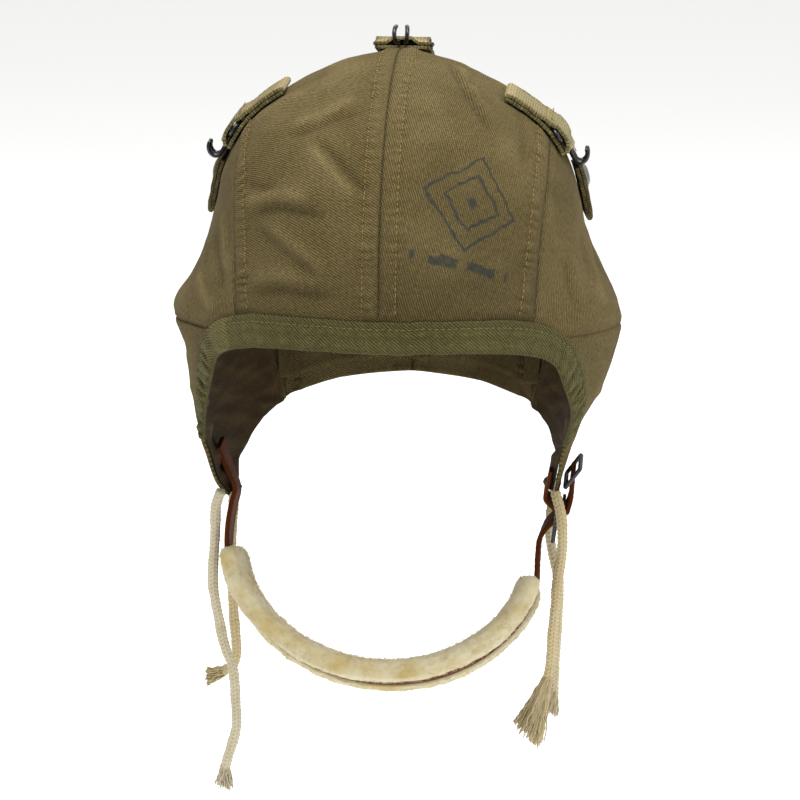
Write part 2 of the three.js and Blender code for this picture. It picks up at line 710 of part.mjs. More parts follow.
// Chin strap from inside the left flap, under the chin, up through the chape's loop and over
// the bar of the slide. lean tips the strap's width from level towards straight down.
const strapRoute = [
  { x: -83.4, y: -11, z: -184, lean: 0 },
  { x: -80.2, y: -11, z: -194, lean: 2 },
  { x: -77.4, y: -11, z: -201, lean: 4 },
  { x: -75.8, y: -11.5, z: -207, lean: 8 },
  { x: -77.2, y: -13.5, z: -214, lean: 12 },
  { x: -78.6, y: -17.5, z: -223.5, lean: 18 },
  { x: -78.4, y: -23, z: -234.5, lean: 24 },
  { x: -75, y: -30, z: -246, lean: 28 },
  { x: -67.5, y: -38, z: -257, lean: 30 },
  { x: -56, y: -45.5, z: -267, lean: 32 },
  { x: -41, y: -52, z: -275, lean: 32 },
  { x: -23, y: -57, z: -280.5, lean: 32 },
  { x: -2, y: -59, z: -282.5, lean: 32 },
  { x: 19, y: -57.5, z: -280.5, lean: 32 },
  { x: 38, y: -52, z: -274.5, lean: 32 },
  { x: 53, y: -45, z: -265.5, lean: 30 },
  { x: 63.5, y: -37, z: -254, lean: 26 },
  { x: 67.8, y: -30, z: -243, lean: 22 },
  { x: 68.2, y: -23.5, z: -233, lean: 15 },
  { x: 69, y: -18, z: -225, lean: 8 },
  { x: 72.2, y: -15.8, z: -218.5, lean: 4 },
  { x: 77, y: -14.4, z: -214, lean: 2 },
  { x: 80.9, y: -13, z: -211, lean: 0 },
  { x: 82.6, y: -12.3, z: -206.6, lean: 0 },
  { x: 83.3, y: -12, z: -202, lean: 0 },
  { x: 83.4, y: -12, z: -198, lean: 0 },
  { x: 83.8, y: -12, z: -193, lean: 0 },
  { x: 84.1, y: -12, z: -189.4, lean: 0 },
];
const strapSection = [
  { across: -strap.width / 2, inward: -strap.thickness / 2 },
  { across: strap.width / 2, inward: -strap.thickness / 2 },
  { across: strap.width / 2, inward: strap.thickness / 2 },
  { across: -strap.width / 2, inward: strap.thickness / 2 },
];

// Lambswool pad, grooved on its outer face where the strap lies in it.
const grooveHalf = strap.width / 2 + gap * 1.6;
const grooveFloor = strap.thickness / 2 + gap * 1.6;
const padSection = [
  { across: -21, inward: 1 },
  { across: -19, inward: -2.2 },
  { across: -14, inward: -3 },
  { across: -grooveHalf, inward: -2 },
  { across: -grooveHalf, inward: grooveFloor },
  { across: grooveHalf, inward: grooveFloor },
  { across: grooveHalf, inward: -2 },
  { across: 14, inward: -3 },
  { across: 19, inward: -2.2 },
  { across: 21, inward: 1 },
  { across: 19.5, inward: 5 },
  { across: 13, inward: 8 },
  { across: 0, inward: 9 },
  { across: -13, inward: 8 },
  { across: -19.5, inward: 5 },
];
const padStart = 0.215;
const padEnd = 0.635;

function strapStations() {
  const curve = new THREE.CatmullRomCurve3(strapRoute.map((p) => new THREE.Vector3(p.x, p.y, p.z)), false,
    'centripetal');
  const stations = [];
  for (let i = 0; i <= strap.steps; i += 1) {
    const t = i / strap.steps;
    const place = t * (strapRoute.length - 1);
    const row = Math.min(Math.floor(place), strapRoute.length - 2);
    const lean = (strapRoute[row].lean
      + (strapRoute[row + 1].lean - strapRoute[row].lean) * (place - row)) * degree;
    const centre = curve.getPoint(t);
    const tangent = curve.getTangent(t);
    const across = new THREE.Vector3(0, Math.cos(lean), -Math.sin(lean));
    across.addScaledVector(tangent, -across.dot(tangent)).normalize();
    stations.push({ centre, across, inward: tangent.clone().cross(across).normalize(), t });
  }
  return stations;
}

function sweptSection(stations, section) {
  const positions = [];
  stations.forEach(({ centre, across, inward }) => section.forEach((corner) => {
    const p = centre.clone().addScaledVector(across, corner.across).addScaledVector(inward, corner.inward);
    positions.push(p.x, p.y, p.z);
  }));
  const n = section.length;
  const faces = [];
  for (let s = 0; s + 1 < stations.length; s += 1) {
    for (let c = 0; c < n; c += 1) {
      const a = s * n + c;
      const b = s * n + ((c + 1) % n);
      faces.push(a, b, b + n, a, b + n, a + n);
    }
  }
  const flat = section.map((corner) => new THREE.Vector2(corner.across, corner.inward));
  const last = (stations.length - 1) * n;
  THREE.ShapeUtils.triangulateShape(flat, []).forEach(([a, b, c]) => {
    faces.push(a, c, b);
    faces.push(last + a, last + b, last + c);
  });
  return facesOut(positions, faces);
}

// Flat steel frame with rounded corners and one window.
function flatFrame({ width, height, round, x, y, z }, upAxis) {
  const outline = roundedRectangle(width, height, round);
  const window = roundedRectangle(width - frameBar * 2, height - frameBar * 2, round / 2);
  outline.holes.push(new THREE.Path(window.getPoints(4)));
  const solid = { depth: frameBar, bevelEnabled: false, curveSegments: 4 };
  const frame = new THREE.ExtrudeGeometry(outline, solid);
  frame.translate(0, 0, -frameBar / 2);
  const widthAxis = new THREE.Vector3(0, 1, 0);
  const faceAxis = widthAxis.clone().cross(upAxis);
  frame.applyMatrix4(new THREE.Matrix4().makeBasis(widthAxis, upAxis, faceAxis));
  frame.translate(x, y, z);
  return frame;
}

function roundedRectangle(width, height, round) {
  const shape = new THREE.Shape();
  const x = width / 2 - round;
  const y = height / 2 - round;
  shape.absarc(x, y, round, 0, Math.PI / 2);
  shape.absarc(-x, y, round, Math.PI / 2, Math.PI);
  shape.absarc(-x, -y, round, Math.PI, Math.PI * 1.5);
  shape.absarc(x, -y, round, Math.PI * 1.5, Math.PI * 2);
  return shape;
}

const loop = { width: 25, height: 18.5, round: 3, x: 76.2, y: -14.8, z: -215.8, lean: 0.13 };
const slide = { width: 23, height: 13.6, round: 2.4, x: 83.8, y: -12.3, z: -193, lean: 0.713 };

const chapeRoute = [{ x: 73.7, z: -190 }, { x: 72.2, z: -198 }, { x: 71, z: -204 }];

function strapHardware() {
  const tilted = (lean) => new THREE.Vector3(lean, 0, 1).normalize();
  addMesh('strap_loop', flatFrame(loop, tilted(loop.lean)), 'enamel');
  addMesh('strap_slide', flatFrame(slide, tilted(slide.lean)), 'enamel');
  const bar = new THREE.Vector2(loop.x, loop.z)
    .addScaledVector(new THREE.Vector2(loop.lean, 1).normalize(), (loop.height - frameBar) / 2);
  const wrap = frameBar * 0.72 + gap + chape.thickness / 2;
  const route = chapeRoute.map((p) => new THREE.Vector2(p.x, p.z));
  for (let turn = 200; turn <= 350; turn += 30) {
    const round = new THREE.Vector2(Math.cos(turn * degree), Math.sin(turn * degree));
    route.push(bar.clone().addScaledVector(round, wrap));
  }
  route.push(new THREE.Vector2(bar.x + wrap, bar.y + 1.2));
  addMesh('buckle_chape', acrossBand(bandShape(route, chape.thickness), chape.width,
    new THREE.Vector3(1, 0, 0), new THREE.Vector3(0, 0, 1), new THREE.Vector3(0, loop.y, 0)), 'leather');
}

// Cords as they hang from the flaps, each with its frayed end.
const cordRoutes = {
  left_front: [
    [-81.2, -25.6, -203.2], [-82.8, -25, -207.2], [-84.2, -24, -212], [-84.6, -23.4, -218.5],
    [-85, -22.8, -226], [-85.8, -22.2, -235.5], [-86.5, -21.6, -244.2], [-86.8, -21.2, -252.2],
    [-85.8, -20.9, -261.6], [-84.3, -20.6, -270.2], [-82.9, -20.4, -279.7], [-81, -20.2, -287.2],
    [-78.7, -20.1, -293.8], [-77.5, -20, -301.3], [-77.2, -20, -309.8], [-76.9, -20, -318.9],
    [-77, -20, -327], [-78.9, -20, -335], [-81.1, -20, -342], [-82.9, -20, -348.8],
  ],
  left_back: [
    [-79.8, 9, -208.4], [-80.2, 8.4, -213], [-80.4, 7, -222], [-80.9, 5.4, -232],
    [-81.4, 4.4, -243], [-81.7, 3.9, -254.5], [-81.1, 3.5, -266.5], [-80.6, 3.2, -279],
    [-79.9, 3, -289.5], [-79.6, 2.8, -297.5], [-81.4, 2.6, -304], [-86.4, 2.4, -307.4],
  ],
  right_front: [
    [76, -26.4, -198.5], [77.4, -28.4, -203], [78.9, -30.2, -208.6], [79.6, -30.8, -215.6],
    [79.8, -30.6, -223], [79.3, -30, -231], [77.8, -29, -241.4], [76.9, -27.8, -256],
    [75.8, -26.6, -271], [75.1, -25.6, -284], [73.9, -25, -293.5],
  ],
  right_back: [
    [75, 11, -205.4], [74.2, 10.4, -213], [72.9, 9, -224], [72.9, 7.4, -235], [75.2, 6, -245],
    [77.2, 5, -254.5], [77.6, 4.4, -264], [77, 4, -278], [76.4, 3.6, -294], [75.9, 3.2, -311.5],
  ],
};

// Frayed ends: where each points, how long it is, and its width at the cord and at the tips.
const frayedEnds = {
  left_front: { dx: -0.1, dy: -0.05, dz: -1, length: 11, neck: 5, tip: 9 },
  left_back: { dx: -0.93, dy: 0, dz: -0.36, length: 10, neck: 5, tip: 10 },
  right_front: { dx: -0.34, dy: 0, dz: -0.94, length: 34, neck: 5.4, tip: 18 },
  right_back: { dx: -0.04, dy: 0, dz: -1, length: 14, neck: 5, tip: 6.6 },
};
const frayedSides = 10;
const frayedGap = 0.7;

function hangingCords() {
  Object.entries(cordRoutes).forEach(([name, route]) => {
    const points = route.map(([x, y, z]) => new THREE.Vector3(x, y, z));
    const steps = Math.round(new THREE.CatmullRomCurve3(points).getLength() / (cordDiameter * 2.2));
    addMesh(`cord_${name}`, wireTube(points, cordDiameter, cordSides, steps), 'cotton');
    const end = frayedEnds[name];
    const profile = [[0, 0], [end.neck / 2, 0], [end.neck * 0.4 + end.tip * 0.22, end.length * 0.45],
      [end.tip / 2, end.length * 0.92], [end.tip * 0.36, end.length], [0, end.length]]
      .map(([r, h]) => new THREE.Vector2(r, h));
    const tuft = new THREE.LatheGeometry(profile, frayedSides);
    const axis = new THREE.Vector3(end.dx, end.dy, end.dz).normalize();
    tuft.applyQuaternion(new THREE.Quaternion().setFromUnitVectors(new THREE.Vector3(0, 1, 0), axis));
    const last = points[points.length - 1].clone().addScaledVector(axis, frayedGap);
    tuft.translate(last.x, last.y, last.z);
    addMesh(`frayed_end_${name}`, tuft, 'cotton');
  });
}

const group = new THREE.Group();
const sides = [{ name: 'left', mirror: -1 }, { name: 'right', mirror: 1 }];

function addMesh(name, geometry, look) {
  const flat = geometry.index ? geometry.toNonIndexed() : geometry;
  flat.computeVertexNormals();
  const mesh = new THREE.Mesh(flat, new THREE.MeshStandardMaterial(finish[look]));
  mesh.name = name;
  group.add(mesh);
}

const shell = crownShell();
sides.forEach(({ name, mirror }) => {
  addMesh(`crown_panel_${name}`, crownPanel(shell, true, mirror), 'twill');
  addMesh(`side_panel_${name}`, crownPanel(shell, false, mirror), 'twill');
  addMesh(`ear_flap_${name}`, earFlap(mirror), 'twill');
  addMesh(`ear_lining_${name}`, earLining(mirror), 'lining');
});
addMesh('face_binding', faceBinding(), 'tape');
hookTabs();
snapTabs();
const stations = strapStations();
addMesh('chin_strap', sweptSection(stations, strapSection), 'leather');
const padStations = stations.filter(({ t }) => t >= padStart && t <= padEnd);
addMesh('chin_fleece', sweptSection(padStations, padSection), 'wool');
strapHardware();
hangingCords();

export default group;
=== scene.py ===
import math
import random

import bmesh
import bpy
import numpy as np
from mathutils import Matrix, Vector, noise


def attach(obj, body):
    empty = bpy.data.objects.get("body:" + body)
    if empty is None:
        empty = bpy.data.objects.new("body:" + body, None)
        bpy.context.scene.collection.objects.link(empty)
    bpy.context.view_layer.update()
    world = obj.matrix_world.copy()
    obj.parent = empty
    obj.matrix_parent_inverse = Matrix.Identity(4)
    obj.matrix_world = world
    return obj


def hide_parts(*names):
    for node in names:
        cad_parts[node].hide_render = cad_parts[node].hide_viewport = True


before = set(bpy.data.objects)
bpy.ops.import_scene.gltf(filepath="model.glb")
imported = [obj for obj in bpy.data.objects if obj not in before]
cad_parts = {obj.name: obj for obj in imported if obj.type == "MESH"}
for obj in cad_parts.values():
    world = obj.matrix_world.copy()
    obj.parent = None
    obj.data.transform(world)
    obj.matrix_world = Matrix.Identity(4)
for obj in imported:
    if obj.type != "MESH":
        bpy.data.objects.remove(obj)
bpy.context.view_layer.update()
mm = 0.001
print("frame loaded")

# camera at the photograph's angle: 18 degrees above level, 5 degrees to the right
camera = {"place": (0.1137, -1.2875, 0.2557), "target": (0.0101, -0.1032, -0.1306), "lens": 129.4,
          "sensor": 36, "reach": 60}


def linked(name, data):
    made = bpy.data.objects.new(name, data)
    bpy.context.collection.objects.link(made)
    return made


def aimed(made, place, target):
    # from its place towards a target, for the camera and the lamps
    made.location = place
    made.rotation_euler = (Vector(target) - Vector(place)).to_track_quat("-Z", "Y").to_euler()
    return made


def placeCamera(settings):
    data = bpy.data.cameras.new("photo_camera")
    data.lens, data.sensor_width, data.clip_end = settings["lens"], settings["sensor"], settings["reach"]
    bpy.context.scene.camera = aimed(linked("photo_camera", data), settings["place"], settings["target"])


placeCamera(camera)


# sRGB hex to the linear values that a shader takes
def toLinear(code):
    parts = [int(code[i:i + 2], 16) / 255 for i in (1, 3, 5)]
    return tuple(c / 12.92 if c <= 0.04045 else ((c + 0.055) / 1.055) ** 2.4 for c in parts) + (1,)


def feed(tree, node, inputs):
    for name, value in inputs.items():
        if isinstance(value, bpy.types.NodeSocket):
            tree.links.new(value, node.inputs[name])
        else:
            node.inputs[name].default_value = value


def add(tree, kind, inputs=None, **settings):
    made = tree.nodes.new(kind)
    for name, value in settings.items():
        setattr(made, name, value)
    feed(tree, made, inputs or {})
    return made


def newMaterial(name):
    material = bpy.data.materials.new(name)
    material.use_nodes = True
    return material, material.node_tree


def finished(material, colour, height, strength, distance, inputs):
    # colour, relief and other inputs into the surface shader
    tree = material.node_tree
    bump = add(tree, "ShaderNodeBump", {"Height": height, "Strength": strength, "Distance": distance})
    feed(tree, tree.nodes["Principled BSDF"], {"Base Color": colour, "Normal": bump.outputs[0], **inputs})
    return material


def objectPlace(tree):
    return add(tree, "ShaderNodeTexCoord").outputs["Object"]


def attribute(tree, name):
    return add(tree, "ShaderNodeAttribute", attribute_name=name).outputs["Fac"]


def noiseMap(tree, place, scale, detail, roughness=0.5, distortion=0.0):
    return add(tree, "ShaderNodeTexNoise", {"Vector": place, "Scale": scale, "Detail": detail,
                                            "Roughness": roughness, "Distortion": distortion}).outputs["Fac"]


def remap(tree, value, fromMin, fromMax, toMin=0.0, toMax=1.0):
    return add(tree, "ShaderNodeMapRange", {"Value": value, "From Min": fromMin, "From Max": fromMax,
                                            "To Min": toMin, "To Max": toMax}).outputs[0]


def maths(tree, operation, *values):
    return add(tree, "ShaderNodeMath", dict(enumerate(values)), operation=operation).outputs[0]


def tint(tree, share, one, other):
    # mixes two colours, each a hex code or a socket
    one, other = (toLinear(colour) if isinstance(colour, str) else colour for colour in (one, other))
    return add(tree, "ShaderNodeMix", {0: share, 6: one, 7: other}, data_type="RGBA").outputs[2]


def ribTurn(angle):
    # turn of a pattern whose ribs run at this angle from the cloth's own width
    return (0, 0, -math.radians(90 + angle))


def bandScale(pitch):
    return math.pi / 10 / pitch  # a band texture repeats every pi / 10 at scale 1


# Woven cotton, as twill, plain lining, tape and webbing: ribs of twisted yarn broken by the
# crossing yarns. The eye gets a dull surface with a fine diagonal line, paler where the cloth
# is rubbed, grey-brown where it is soiled, and darker with painted shade in its creases and
# hollows. Real twill has a rib every 0.7 mm; it is drawn every 1 mm so that it shows.
def wovenCloth(name, look, ink=None):
    material, tree = newMaterial(name)
    uv = add(tree, "ShaderNodeUVMap").outputs[0]

    def weave(rib, pitch, distortion, detailScale):
        turned = add(tree, "ShaderNodeMapping", {"Vector": uv, "Rotation": ribTurn(rib)}).outputs[0]
        waves = add(tree, "ShaderNodeTexWave", {"Vector": turned, "Scale": bandScale(pitch), "Detail": 2.0,
                                                "Distortion": distortion, "Detail Scale": detailScale})
        return turned, waves.outputs["Fac"]

    turned, ribs = weave(look["rib"], look["pitch"], 2.0, 0.8)
    picks = weave(look["cross"], look["pick"], 2.2, 0.7)[1]
    yarn = add(tree, "ShaderNodeMix", {0: look["pickShare"], 2: ribs, 3: picks}, data_type="FLOAT").outputs[0]
    slub = noiseMap(tree, uv, 0.9, 3.0, 0.6)
    patch = noiseMap(tree, objectPlace(tree), 26.0, 5.0, 0.55, 0.6)
    floats = add(tree, "ShaderNodeMapping", {"Vector": turned, "Scale": (1.5, 0.45, 1.0)}).outputs[0]
    speck = noiseMap(tree, floats, 1.0, 2.0, 0.7)
    relief = attribute(tree, "relief")

    tone = tint(tree, yarn, look["dark"], look["colour"])
    tone = tint(tree, remap(tree, patch, 0.36, 0.66, 0, look["patch"]), tone, look["faded"])
    tone = tint(tree, remap(tree, relief, 0.15, 1.3, 0, look["rubbed"]), tone, look["light"])
    # painted shade: where the relief is low, in creases and hollows, the cloth is tinted dark
    tone = tint(tree, remap(tree, relief, -0.1, -1.6, 0, 0.32), tone, look["soilAndShade"])
    # the soil mask: dirt near the seams, and on the centre panels also painted shade above the brow
    tone = tint(tree, maths(tree, "MULTIPLY", attribute(tree, "soilAndShade"), patch), tone, look["soilAndShade"])
    thread = maths(tree, "MULTIPLY", remap(tree, speck, 0.3, 0.7, 0.64, 1.3),
                   remap(tree, yarn, 0.2, 0.8, 0.77, 1.13))
    tone = add(tree, "ShaderNodeVectorMath", {0: tone, 1: thread}, operation="MULTIPLY").outputs[0]
    if ink:
        tone = inkedMark(tree, uv, ribs, tone, ink)
    return finished(material, tone, maths(tree, "ADD", yarn, slub), look["bump"], 0.00032,
                    {"Roughness": look["roughness"], "Sheen Weight": look["sheen"], "Sheen Roughness": 0.55,
                     "Specular IOR Level": 0.1})


# Faded laundry-marker ink: two diamond outlines, a small solid diamond and a row of plain
# dashes. The ink sits on the ribs and has worn off between them.
def inkedMark(tree, uv, ribs, under, ink):
    centred = add(tree, "ShaderNodeMapping", {"Vector": uv, "Location": (-ink["u"], -ink["v"], 0)})
    wobble = add(tree, "ShaderNodeTexNoise", {"Vector": uv, "Scale": 0.12, "Detail": 2.0})
    hand = add(tree, "ShaderNodeVectorMath", {0: wobble.outputs["Color"], 1: (-0.5, -0.5, -0.5)}, operation="ADD")
    swayed = add(tree, "ShaderNodeVectorMath", {0: hand.outputs[0], 1: (5.0, 5.0, 0), 2: centred.outputs[0]},
                 operation="MULTIPLY_ADD")
    turned = add(tree, "ShaderNodeMapping", {"Vector": swayed.outputs[0], "Rotation": (0, 0, ink["turn"])})
    parts = add(tree, "ShaderNodeSeparateXYZ", {0: turned.outputs[0]})
    x, y = parts.outputs[0], parts.outputs[1]
    besideX, besideY = maths(tree, "ABSOLUTE", x), maths(tree, "ABSOLUTE", y)
    diamond = maths(tree, "ADD", maths(tree, "DIVIDE", besideX, ink["halfWidth"]),
                    maths(tree, "DIVIDE", besideY, ink["halfHeight"]))
    inRow = remap(tree, maths(tree, "ABSOLUTE", maths(tree, "ADD", y, ink["dashDrop"])), 2.3, 1.5)
    inReach = remap(tree, besideX, ink["dashReach"], ink["dashReach"] - 0.8)
    dash = remap(tree, maths(tree, "PINGPONG", x, 9.5), 2.2, 3.0)
    mark = maths(tree, "MULTIPLY", maths(tree, "MULTIPLY", inRow, inReach), dash)
    for size, stroke in ink["outlines"]:
        apart = maths(tree, "ABSOLUTE", maths(tree, "SUBTRACT", diamond, size))
        mark = maths(tree, "MAXIMUM", mark, remap(tree, apart, stroke, stroke * 0.45))
    kept = remap(tree, noiseMap(tree, uv, 0.35, 4.0, 0.65), 0.34, 0.6, 0.55, ink["strength"])
    inked = maths(tree, "MULTIPLY", maths(tree, "MULTIPLY", mark, kept), remap(tree, ribs, 0, 1, 0.72, 1.0))
    return tint(tree, inked, under, ink["colour"])


# Cotton sewing thread, mercerised: a tight two-ply twist, uneven in colour, a little smoother
# than the cloth.
def sewingThread(name, colour):
    material, tree = newMaterial(name)
    place = objectPlace(tree)
    twist = add(tree, "ShaderNodeTexWave", {"Vector": place, "Scale": 900.0, "Distortion": 1.0},
                bands_direction="DIAGONAL")
    tone = tint(tree, noiseMap(tree, place, 120.0, 2.0), colour["dark"], colour["light"])
    return finished(material, tone, twist.outputs["Fac"], 0.5, 0.0001, {"Roughness": 0.62})


# Steel wire and flat steel, dipped in black stoving enamel: a glossy skin of even black that
# is slightly lumpy, dulled by handling, with brown specks of rust where it has chipped. The
# snap caps wear the same kind of skin in a dull grey, brass brown at the chips.
def blackEnamel(name, look):
    material, tree = newMaterial(name)
    place = objectPlace(tree)
    lumps = noiseMap(tree, place, 420.0, 3.0)
    chipped = remap(tree, noiseMap(tree, place, 900.0, 4.0, 0.7), 0.66, 0.72, 0, look["chips"])
    dull = remap(tree, lumps, 0, 1, look["gloss"], look["gloss"] + 0.22)
    return finished(material, tint(tree, chipped, look["colour"], look["rust"]), lumps, 0.35, 0.0003,
                    {"Roughness": dull, "Coat Weight": 0.4, "Coat Roughness": 0.25})


# Bridle leather, vegetable tanned and waxed: smooth, red-brown and unevenly dyed, with pores
# and fine creases that break up what little shine it has.
def bridleLeather(name, look):
    material, tree = newMaterial(name)
    place = objectPlace(tree)
    hide = noiseMap(tree, place, 90.0, 5.0, 0.6)
    pores = add(tree, "ShaderNodeTexVoronoi", {"Vector": place, "Scale": 1500.0}, feature="DISTANCE_TO_EDGE")
    creases = noiseMap(tree, place, 420.0, 4.0, distortion=1.2)
    grain = maths(tree, "ADD", pores.outputs["Distance"], creases)
    return finished(material, tint(tree, hide, look["dark"], look["light"]), grain, 0.4, 0.0003,
                    {"Roughness": remap(tree, creases, 0, 1, 0.6, 0.8), "Specular IOR Level": 0.06})


# Sheared lambswool: cream, soft and matt, yellowed in patches, with painted shade darkening the
# partings of the pile.
def shearedWool(name, look):
    material, tree = newMaterial(name)
    place = objectPlace(tree)
    aged = remap(tree, noiseMap(tree, place, 70.0, 4.0, 0.6), 0.42, 0.68, 0, look["aged"])
    tone = tint(tree, aged, look["cream"], look["yellow"])
    # painted shade: where the pile parts, at low relief, it is tinted towards the deep colour
    tone = tint(tree, remap(tree, attribute(tree, "relief"), 0, -1, 0, 0.6), tone, look["deep"])
    curl = noiseMap(tree, place, 900.0, 4.0, distortion=1.5)
    return finished(material, tone, curl, 0.8, 0.0008,
                    {"Roughness": 0.95, "Sheen Weight": 0.5, "Specular IOR Level": 0.1})


# Braided cotton cord, unbleached: dull ivory yarn, grey where it has been handled, and darker
# with painted shade between the yarns.
def cottonCord(name, look):
    material, tree = newMaterial(name)
    uv = add(tree, "ShaderNodeUVMap").outputs[0]
    handled = remap(tree, noiseMap(tree, objectPlace(tree), 60.0, 4.0), 0.4, 0.7, 0, 0.7)
    tone = tint(tree, handled, look["colour"], look["handled"])
    # painted shade: low relief, between the yarns, tinted towards the between colour
    tone = tint(tree, remap(tree, attribute(tree, "relief"), 0.2, -1, 0, 0.8), tone, look["between"])
    return finished(material, tone, noiseMap(tree, uv, 3.2, 4.0, 0.7), 0.6, 0.0003,
                    {"Roughness": 0.92, "Sheen Weight": 0.25})


# Lays a grid of points, in millimetres, into the mesh; wrap closes it to a tube
def layGrid(bm, points, uvs, layers, wrap=False, cap=False):
    uvLayer = bm.loops.layers.uv.verify()
    uvs = np.stack(uvs, axis=2)
    floats = {name: bm.verts.layers.float.get(name) or bm.verts.layers.float.new(name)
              for name in (layers or {})}
    rows, cols = points.shape[:2]
    made = bmesh.ops.create_grid(bm, x_segments=cols - 1, y_segments=rows - 1, size=1)["verts"]
    seat = {}
    for vert in made:
        r = round((vert.co.y + 1) / 2 * (rows - 1))
        c = round((vert.co.x + 1) / 2 * (cols - 1))
        seat[vert] = (r, c)
        vert.co = Vector(points[r, c]) * mm
        for name, layer in floats.items():
            vert[layer] = float(layers[name][r, c])
    faces = {face for vert in made for face in vert.link_faces}
    for face in faces:
        face.smooth = True
        for loop in face.loops:
            loop[uvLayer].uv = uvs[seat[loop.vert]]
    if wrap:
        rim = [vert for vert, (r, c) in seat.items() if c in (0, cols - 1)]
        bmesh.ops.remove_doubles(bm, verts=rim, dist=1e-7)
    if cap:
        faces = {face for face in faces if face.is_valid}
        edges = {edge for face in faces for edge in face.edges if edge.is_boundary}
        bmesh.ops.holes_fill(bm, edges=list(edges), sides=0)
    return faces


def joinInto(bm, part):
    # a long run of small shapes is made apart and then joined, which is much quicker
    mesh = bpy.data.meshes.new("part")
    part.to_mesh(mesh)
    part.free()
    bm.from_mesh(mesh)
    bpy.data.meshes.remove(mesh)


def addPiece(bm, name, materials, nodes=(), outwardFrom=None, wall=None, wallOffset=-1, closed=False):
    # faces turned outward, materials, the wall's thickness (all inward, or half each way at
    # offset 0), and what the piece stands for
    bm.normal_update()
    if closed:
        bmesh.ops.recalc_face_normals(bm, faces=bm.faces)
    elif outwardFrom is not None:
        inside = Vector(outwardFrom) * mm
        facing = sum((face.calc_center_median() - inside).normalized().dot(face.normal) for face in bm.faces)
        if facing < 0:
            bmesh.ops.reverse_faces(bm, faces=bm.faces)
    mesh = bpy.data.meshes.new(name)
    bm.to_mesh(mesh)
    bm.free()
    piece = linked(name, mesh)
    for material in materials:
        mesh.materials.append(material)
    if wall:
        solid = piece.modifiers.new("wall", "SOLIDIFY")
        solid.thickness = wall * mm
        solid.offset = wallOffset
        solid.use_even_offset = False
        if len(materials) > 1:
            solid.material_offset = 1
            solid.material_offset_rim = 0
    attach(piece, "root")
    if nodes:
        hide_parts(*nodes)
    return piece


def layTube(bm, rings, layers=None, uvs=None, cap=True):
    layGrid(bm, rings, uvs or ringUvs(rings), layers, wrap=True, cap=cap)


def tubePiece(rings, name, material, node, layers=None, uvs=None):
    # a closed piece from rings of points, its ends filled
    bm = bmesh.new()
    layTube(bm, rings, layers, uvs)
    return addPiece(bm, name, [material], [node], closed=True)


def softEdges(piece, width, segments):
    soft = piece.modifiers.new("soft edges", "BEVEL")
    soft.width, soft.segments, soft.limit_method = width * mm, segments, "ANGLE"


def sheetPiece(points, uvs, layers, name, materials, nodes, outwardFrom, wall, wallOffset=-1):
    # an open piece from a grid of points, with its wall
    bm = bmesh.new()
    layGrid(bm, points, uvs, layers)
    return addPiece(bm, name, materials, nodes, outwardFrom, wall, wallOffset)


def unit(vectors):
    return vectors / np.linalg.norm(vectors, axis=-1, keepdims=True)


def headings(line):
    return unit(np.gradient(line, axis=0))


crownMiddle, flapMiddle = (0, 0, -110), (0, 0, -160)  # outward is told from these


def gridNormals(points, outwardFrom=crownMiddle):
    along = np.gradient(points, axis=0)
    across = np.gradient(points, axis=1)
    normals = np.cross(across, along)
    normals /= np.linalg.norm(normals, axis=2, keepdims=True) + 1e-9
    if np.sum(normals * (points - np.array(outwardFrom))) < 0:
        normals = -normals
    return normals


def runLengths(points, axis):
    steps = np.linalg.norm(np.diff(points, axis=axis), axis=-1)
    start = np.zeros_like(np.take(steps, [0], axis=axis))
    return np.concatenate([start, np.cumsum(steps, axis=axis)], axis=axis)


def readAlong(at, places, values):
    return np.stack([np.interp(at, places, values[:, k]) for k in range(values.shape[1])], axis=-1)


def evenly(points, count):
    points = np.asarray(points, float)
    lengths = runLengths(points, 0)
    return readAlong(np.linspace(0, lengths[-1], count), lengths, points)


def noiseAt(points, size, seed):
    flat = points.reshape(-1, 3) / size
    values = [wobble(x + seed * 7.3, y - seed * 3.1, z + seed) for x, y, z in flat]
    return np.array(values).reshape(points.shape[:-1])


def wobble(x, y=0.0, z=0.0):
    return noise.noise(Vector((x, y, z)))


def bell(off, width):
    return np.exp(-(off / width) ** 2)


def smoothStep(at):
    w = np.clip(at, 0, 1)
    return w * w * (3 - 2 * w)


def plateau(at, start, rise, end, fall):
    # from 0 up to 1 over the rise, and down again over the fall
    return smoothStep((at - start) / rise) * (1 - smoothStep((at - end) / fall))


def centripetal(points, count):
    # smooth curve through the points, evenly many steps between each two of them
    p = np.asarray(points, float)
    full = np.vstack([2 * p[0] - p[1], p, 2 * p[-1] - p[-2]])
    places = np.linspace(0, len(p) - 1, count)
    out = []
    for place in places:
        i = min(int(place), len(p) - 2)
        w = place - i
        a, b, c, d = full[i:i + 4]
        ab, bc, cd = (np.linalg.norm(v) ** 0.5 for v in (b - a, c - b, d - c))
        t1 = ((b - a) / ab - (c - a) / (ab + bc) + (c - b) / bc) * bc
        t2 = ((c - b) / bc - (d - b) / (bc + cd) + (d - c) / cd) * bc
        out.append(b + t1 * w + (3 * (c - b) - 2 * t1 - t2) * w ** 2 + (2 * (b - c) + t1 + t2) * w ** 3)
    return np.array(out)


